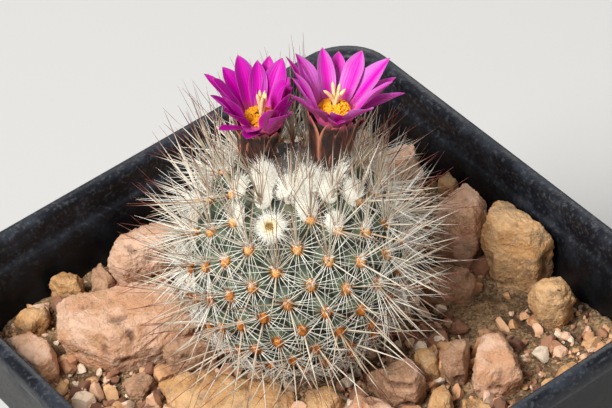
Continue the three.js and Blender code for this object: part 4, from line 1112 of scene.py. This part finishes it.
def tepal_blades(flower):
    """The part's own tepals, and behind each gap of its two whorls one more that fills the gap."""
    azimuth, lean, length = flower["tepals"].T[:3]
    order = np.argsort(azimuth)
    here, after = azimuth[order], np.append(azimuth[order][1:], azimuth[order][0] + 2 * math.pi)
    follows = np.roll(order, -1)
    wide = np.flatnonzero((after - here > fill_gap) & (lean[order] + lean[follows] < 1.3))
    fill = np.column_stack([
        ((here + after) / 2)[wide],
        ((lean[order] + lean[follows]) / 2 + 0.14)[wide],
        0.9 * np.minimum(length[order], length[follows])[wide],
        np.full(len(wide), 1.4),
        np.full(len(wide), 0.5),
    ])
    azimuth, lean, length, half, outer = np.vstack([flower["tepals"], fill]).T
    root = cup_radii[1] - 0.65 + 0.45 * outer
    height = np.full(len(root), flower["tube"])
    curl = np.full(len(root), tepal_curl)
    return np.column_stack([azimuth, root, height, length, half, lean, curl, outer])


def tepal_silk(name, middle, edge):
    """Silky tepal: a strong stripe along its middle, mauve margins, fine veins along it, a rosy throat, and
    on the outer whorl's back a browner stripe."""
    finish = Finish(name, Roughness=0.45, Subsurface_Weight=0.15, Subsurface_Scale=0.0006,
                    Specular_IOR_Level=0.2)
    along = finish.own("along")
    across = finish.own("across").size()
    cloud = finish.noise(1.6, 4)
    breadth = 0.72 + 0.3 * finish.own("own")
    stripe = finish.step(across + 0.4 * (cloud - 0.5), breadth, 0.05)
    veins = finish.node("ShaderNodeMath", {"operation": "SINE"}, {0: finish.own("across") * 26 + 3 * cloud})
    outer = finish.step(finish.own("outer"), 0.6, 0.9)
    back = finish.step(finish.own("inside"), 0.1, -0.6) * outer
    brown = finish.step(across, 0.9, 0.2) * (0.12 * outer + 0.6 * back)
    finish.coats(edge, (stripe + (1 - stripe) * (0.55 * outer), middle),
                 (finish.step(veins, 0.0, 1.0) * 0.1, middle),
                 (finish.step(across, 0.8, 1.0) * 0.2, (206, 128, 184)),
                 (finish.step(along, 0.3, 0.02) * 0.75, (206, 92, 120)),
                 (brown, (138, 66, 78)), (finish.step(along, 0.93, 1.0) * 0.5, (176, 96, 104)))
    finish.relief(veins * 0.25 + cloud, 0.04)
    return finish


def scale_skin():
    """Tube and scales: dark maroon-brown along the middle, salmon-pink along the thin margins, and rosy
    towards the tips."""
    finish = Finish("maroon_scales", Roughness=0.45, Subsurface_Weight=0.05, Subsurface_Scale=0.0005)
    across = finish.own("across").size()
    along = finish.own("along")
    cloud = finish.noise(1.2, 5)
    edge = finish.step(across + 0.25 * (cloud - 0.5), 0.58, 0.95)
    finish.coats((26, 10, 8), (finish.step(cloud, 0.35, 0.65), (58, 28, 22)),
                 (edge * finish.step(along, 0.0, 0.25), (178, 112, 84)),
                 (finish.step(along, 0.8, 1.0) * 0.7, (196, 84, 104)))
    finish.relief(finish.noise(0.4, 4), 0.06)
    return finish


def turned_rings(outline, flower, columns):
    """Rings of an outline of radius and height, turned about the flower's axis."""
    around = radial(full_turn(columns))
    rings = outline[:, :1, None] * around + outline[:, 1:, None] * np.array([0, 0, 1.0])
    return in_place(rings, flower)[None]


def tube_scales(flower, other):
    """The part's six scales on a golden spiral up the tube, short where they face the other flower, and
    ten more that lie close to the tube and reach the throat."""
    step = np.arange(6)
    there = flower["axes"].T @ (other["base"] - flower["base"])
    azimuth = step * golden_angle + flower["turn"]
    height = 1.6 + step * (flower["tube"] - 4.4) / 5
    crowded = np.cos(azimuth - math.atan2(there[1], there[0])) > 0.4
    room = np.where(crowded, 2.6, (flower["tube"] - height) / 0.92)
    standing = np.column_stack([azimuth, 1.95 + 0.12 * step, height, np.minimum(6.2, room),
                                *np.full((4, 6), [[1.3], [0.36], [0.25], [0]])])
    step = np.arange(10)
    height = 0.3 + 0.22 * step
    close = np.column_stack([step * golden_angle + flower["turn"] + 1.2, 2.4 + 0.03 * step, height,
                             flower["tube"] + 0.6 - height,
                             *np.full((4, 10), [[1.5], [0.17], [0.05], [0]])])
    return np.vstack([standing, close])


def joined(*parts):
    """One shape, and its carried numbers, from several."""
    points, face_sets, carried = [], [], []
    count = 0
    for (own_points, own_faces), own_carried in parts:
        points.append(own_points)
        face_sets += [faces + count for faces in own_faces]
        carried.append(own_carried)
        count += len(own_points)
    numbers = {key: np.concatenate([np.ravel(own[key]) for own in carried]) for key in carried[0]}
    return (np.vstack(points), face_sets), numbers


def with_blades(outline, flower, blades):
    """A body turned from an outline, and the blades on it, as one shape. The body carries only zeros."""
    body = skins(turned_rings(outline, flower, 40))
    return joined((body, dict.fromkeys(blades[1], np.zeros(len(body[0])))), blades)


def anther_skins(centres, dice):
    """Anthers: small grains, longer than wide, each turned its own way."""
    grain = ball(5, 6, 0.2) * [0.22, 0.18, 0.32]
    grains = np.einsum("nij,rcj->nrci", random_turns(len(centres), dice), grain)
    return skins(grains + centres[:, None, None])


def mottled(name, patches, first, second, grain, depth, **fixed):
    """Two tones in patches, with a fine grain in relief."""
    finish = Finish(name, **fixed)
    finish.coats(first, (finish.noise(*patches), second))
    finish.relief(finish.noise(*grain), depth)
    return finish


tepal_finishes = {
    "left": tepal_silk("magenta_silk", (200, 0, 166), (170, 34, 152)),
    "right": tepal_silk("mauve_silk", (204, 6, 168), (188, 98, 180)),
}
maroon = scale_skin()
pollen_yellow = mottled("pollen", (0.45, 3), (244, 140, 0), (255, 206, 30), (0.12, 2), 0.06,
                        Roughness=0.8, Subsurface_Weight=0.1, Subsurface_Scale=0.0003)
filament_pink = mottled("filaments", (1.5, 2), (214, 96, 110), (232, 170, 80), (0.2, 2), 0.03,
                        Roughness=0.5, Subsurface_Weight=0.2, Subsurface_Scale=0.0004)
stigma_cream = mottled("stigma_velvet", (0.8, 3), (228, 190, 118), (248, 226, 170), (0.15, 3), 0.08,
                       Roughness=0.75, Sheen_Weight=0.2, Subsurface_Weight=0.15, Subsurface_Scale=0.0005)

for side, flower in flowers.items():
    other = flowers["right" if side == "left" else "left"]
    dice = np.random.default_rng(90 + flower["seed"])
    throat = flower["tube"]
    cup_floor = throat - cup_depth

    tube = eased(np.array([
        [0.2, -2.0], [tube_radii[0] * 0.9, -2.0], [tube_radii[0], 0.0],
        [tube_radii[0] + 0.35, throat * 0.55], [tube_radii[1], throat - 0.6],
        [cup_radii[1] + 0.1, throat - 0.6], [cup_radii[0] + 0.1, cup_floor], [0.2, cup_floor],
    ]), 0.4, 4)
    scales = blade_skins(tube_scales(flower, other), flower, 14, 12, 0.45, 0.8, 0.3)
    shape, carried = with_blades(tube, flower, scales)
    make_piece(side + "_tube_and_scales", shape, maroon, "maroon_tube", [side + "_flower_tube"],
               flower_crease, **carried)

    cup = eased(np.array([
        [0.95, cup_floor + 0.35], [cup_radii[0], cup_floor + 0.35], [cup_radii[1], throat],
        [cup_radii[1] + 0.5, throat + 0.9], [cup_radii[1] - 0.7, throat + 0.9], [0.95, cup_floor + 1.3],
    ]), 0.3, 4)
    blades = blade_skins(tepal_blades(flower), flower, 24, 20, 0.56, 0.36, 0.22)
    shape, carried = with_blades(cup, flower, blades)
    silk = tepal_finishes[side]
    make_piece(side + "_tepals", shape, silk, "magenta_tepal", [side + "_flower_tepals"], **carried)

    share = np.sqrt(np.arange(anther_grains) / anther_grains)
    around = radial(np.arange(anther_grains) * golden_angle)
    tip_height = throat + 1.9 - 0.9 * share ** 2 + dice.uniform(-0.25, 0.25, anther_grains)
    tips = (0.7 + 1.75 * share)[:, None] * around
    tips[:, 2] = tip_height
    feet = (1.0 + 0.9 * share)[:, None] * around
    feet[:, 2] = throat - 1.4 + 0.7 * share
    along = np.linspace(0, 1, 5)[None, :, None]
    bulge = 0.3 * np.sin(along * math.pi) * around[:, None]
    path = in_place(feet[:, None] * (1 - along) + tips[:, None] * along + bulge, flower)
    filaments = rods(path, np.full(path.shape[:2], 0.05), 4)
    anthers = anther_skins(path[:, -1], dice)
    make_piece(side + "_anthers", anthers, pollen_yellow, "yellow_anther", [side + "_flower_anthers"],
               flower_crease)
    make_piece(side + "_filaments", filaments, filament_pink, "yellow_anther", (), flower_crease)

    style_foot = cup_floor + 0.35
    style_head = style_foot + style_length
    style = np.array([[[0, 0, style_foot], [0, 0, style_foot + 3], [0, 0, style_head]]], float)
    turn, spread, long = (column[:, None, None] for column in np.array(stigma_lobes[side]).T)
    along = np.linspace(0, 1, 10)[None, :, None]
    away = 0.2 + 0.25 * along + spread * along ** 1.5
    rise = style_head - 0.4 + long * along * (1 - 0.1 * spread * along)
    lobe_path = in_place(np.concatenate([away * np.cos(turn), away * np.sin(turn), rise], axis=-1), flower)
    lobe_radii = 0.3 * np.sqrt(np.clip(1.02 - along[..., 0] ** 6, 0, 1)) * (0.8 + 0.3 * along[..., 0])
    lobes = rods(lobe_path, np.broadcast_to(lobe_radii, lobe_path.shape[:2]), 10)
    shaft = rods(in_place(style, flower), np.full((1, 3), 0.4), 12)
    stigma, _ = joined((shaft, {}), (lobes, {}))
    make_piece(side + "_stigma", stigma, stigma_cream, "cream_stigma", [side + "_flower_stigma"],
               flower_crease)

# Studio: a plain pale floor, a large soft light high on the camera's left, a weaker one on its right and
# a pale sky. The camera looks down on the pot's corner from the photograph's place.

floor_half_width = 3000.0
eye = Vector((-188.8, -305.7, 438.1)) * mm
looking = Vector((0.38947, 0.62183, -0.67944))
camera_roll = math.radians(-7.67)
sensor_width = 36.0
focal_pixels = 3137.0
image_width = 612.0

floor_corners = floor_half_width * np.array([[-1, -1, 0], [1, -1, 0], [1, 1, 0], [-1, 1, 0]], float)
floor_finish = Finish("pale_floor", Roughness=0.8)
floor_finish.coats((192, 190, 186), (floor_finish.noise(400, 2), (198, 196, 192)))
floor_mesh = bpy.data.meshes.new("floor")
floor_mesh.from_pydata((floor_corners * mm).tolist(), [], [(0, 1, 2, 3)])
floor_mesh.materials.append(floor_finish.material)


def stand(name, data, place=(0, 0, 0), turn=Quaternion()):
    """Puts a thing of the studio in its place, turned from looking straight down."""
    thing = bpy.data.objects.new(name, data)
    thing.location = place
    thing.rotation_mode = "QUATERNION"
    thing.rotation_quaternion = turn
    bpy.context.scene.collection.objects.link(thing)
    return thing


floor = stand("floor", floor_mesh)

lamps = [
    ("key_lamp", (-0.5, -0.1, 0.8), 0.32, 12.0),
    ("fill_lamp", (0.3, -0.7, 0.5), 0.7, 2.2),
    ("back_lamp", (0.5, 0.6, 0.5), 0.5, 3.0),
]
stem_middle = Vector(stem_centre * mm)
for name, place, size, power in lamps:
    light = bpy.data.lights.new(name, "AREA")
    light.shape = "SQUARE"
    light.size = size
    light.energy = power
    stand(name, light, place, (stem_middle - Vector(place)).to_track_quat("-Z", "Y"))

sky = bpy.data.worlds.new("pale_sky")
sky.use_nodes = True
sky.node_tree.nodes["Background"].inputs["Color"].default_value = paint(226, 230, 236)
sky.node_tree.nodes["Background"].inputs["Strength"].default_value = 0.26
bpy.context.scene.world = sky
bpy.context.scene.view_settings.view_transform = "Standard"

lens = bpy.data.cameras.new("photo_camera")
lens.sensor_fit = "HORIZONTAL"
lens.sensor_width = sensor_width
lens.lens = focal_pixels / image_width * sensor_width
lens.clip_start = 0.01
turn = looking.to_track_quat("-Z", "Y") @ Quaternion((0, 0, 1), camera_roll)
bpy.context.scene.camera = stand("photo_camera", lens, eye, turn)
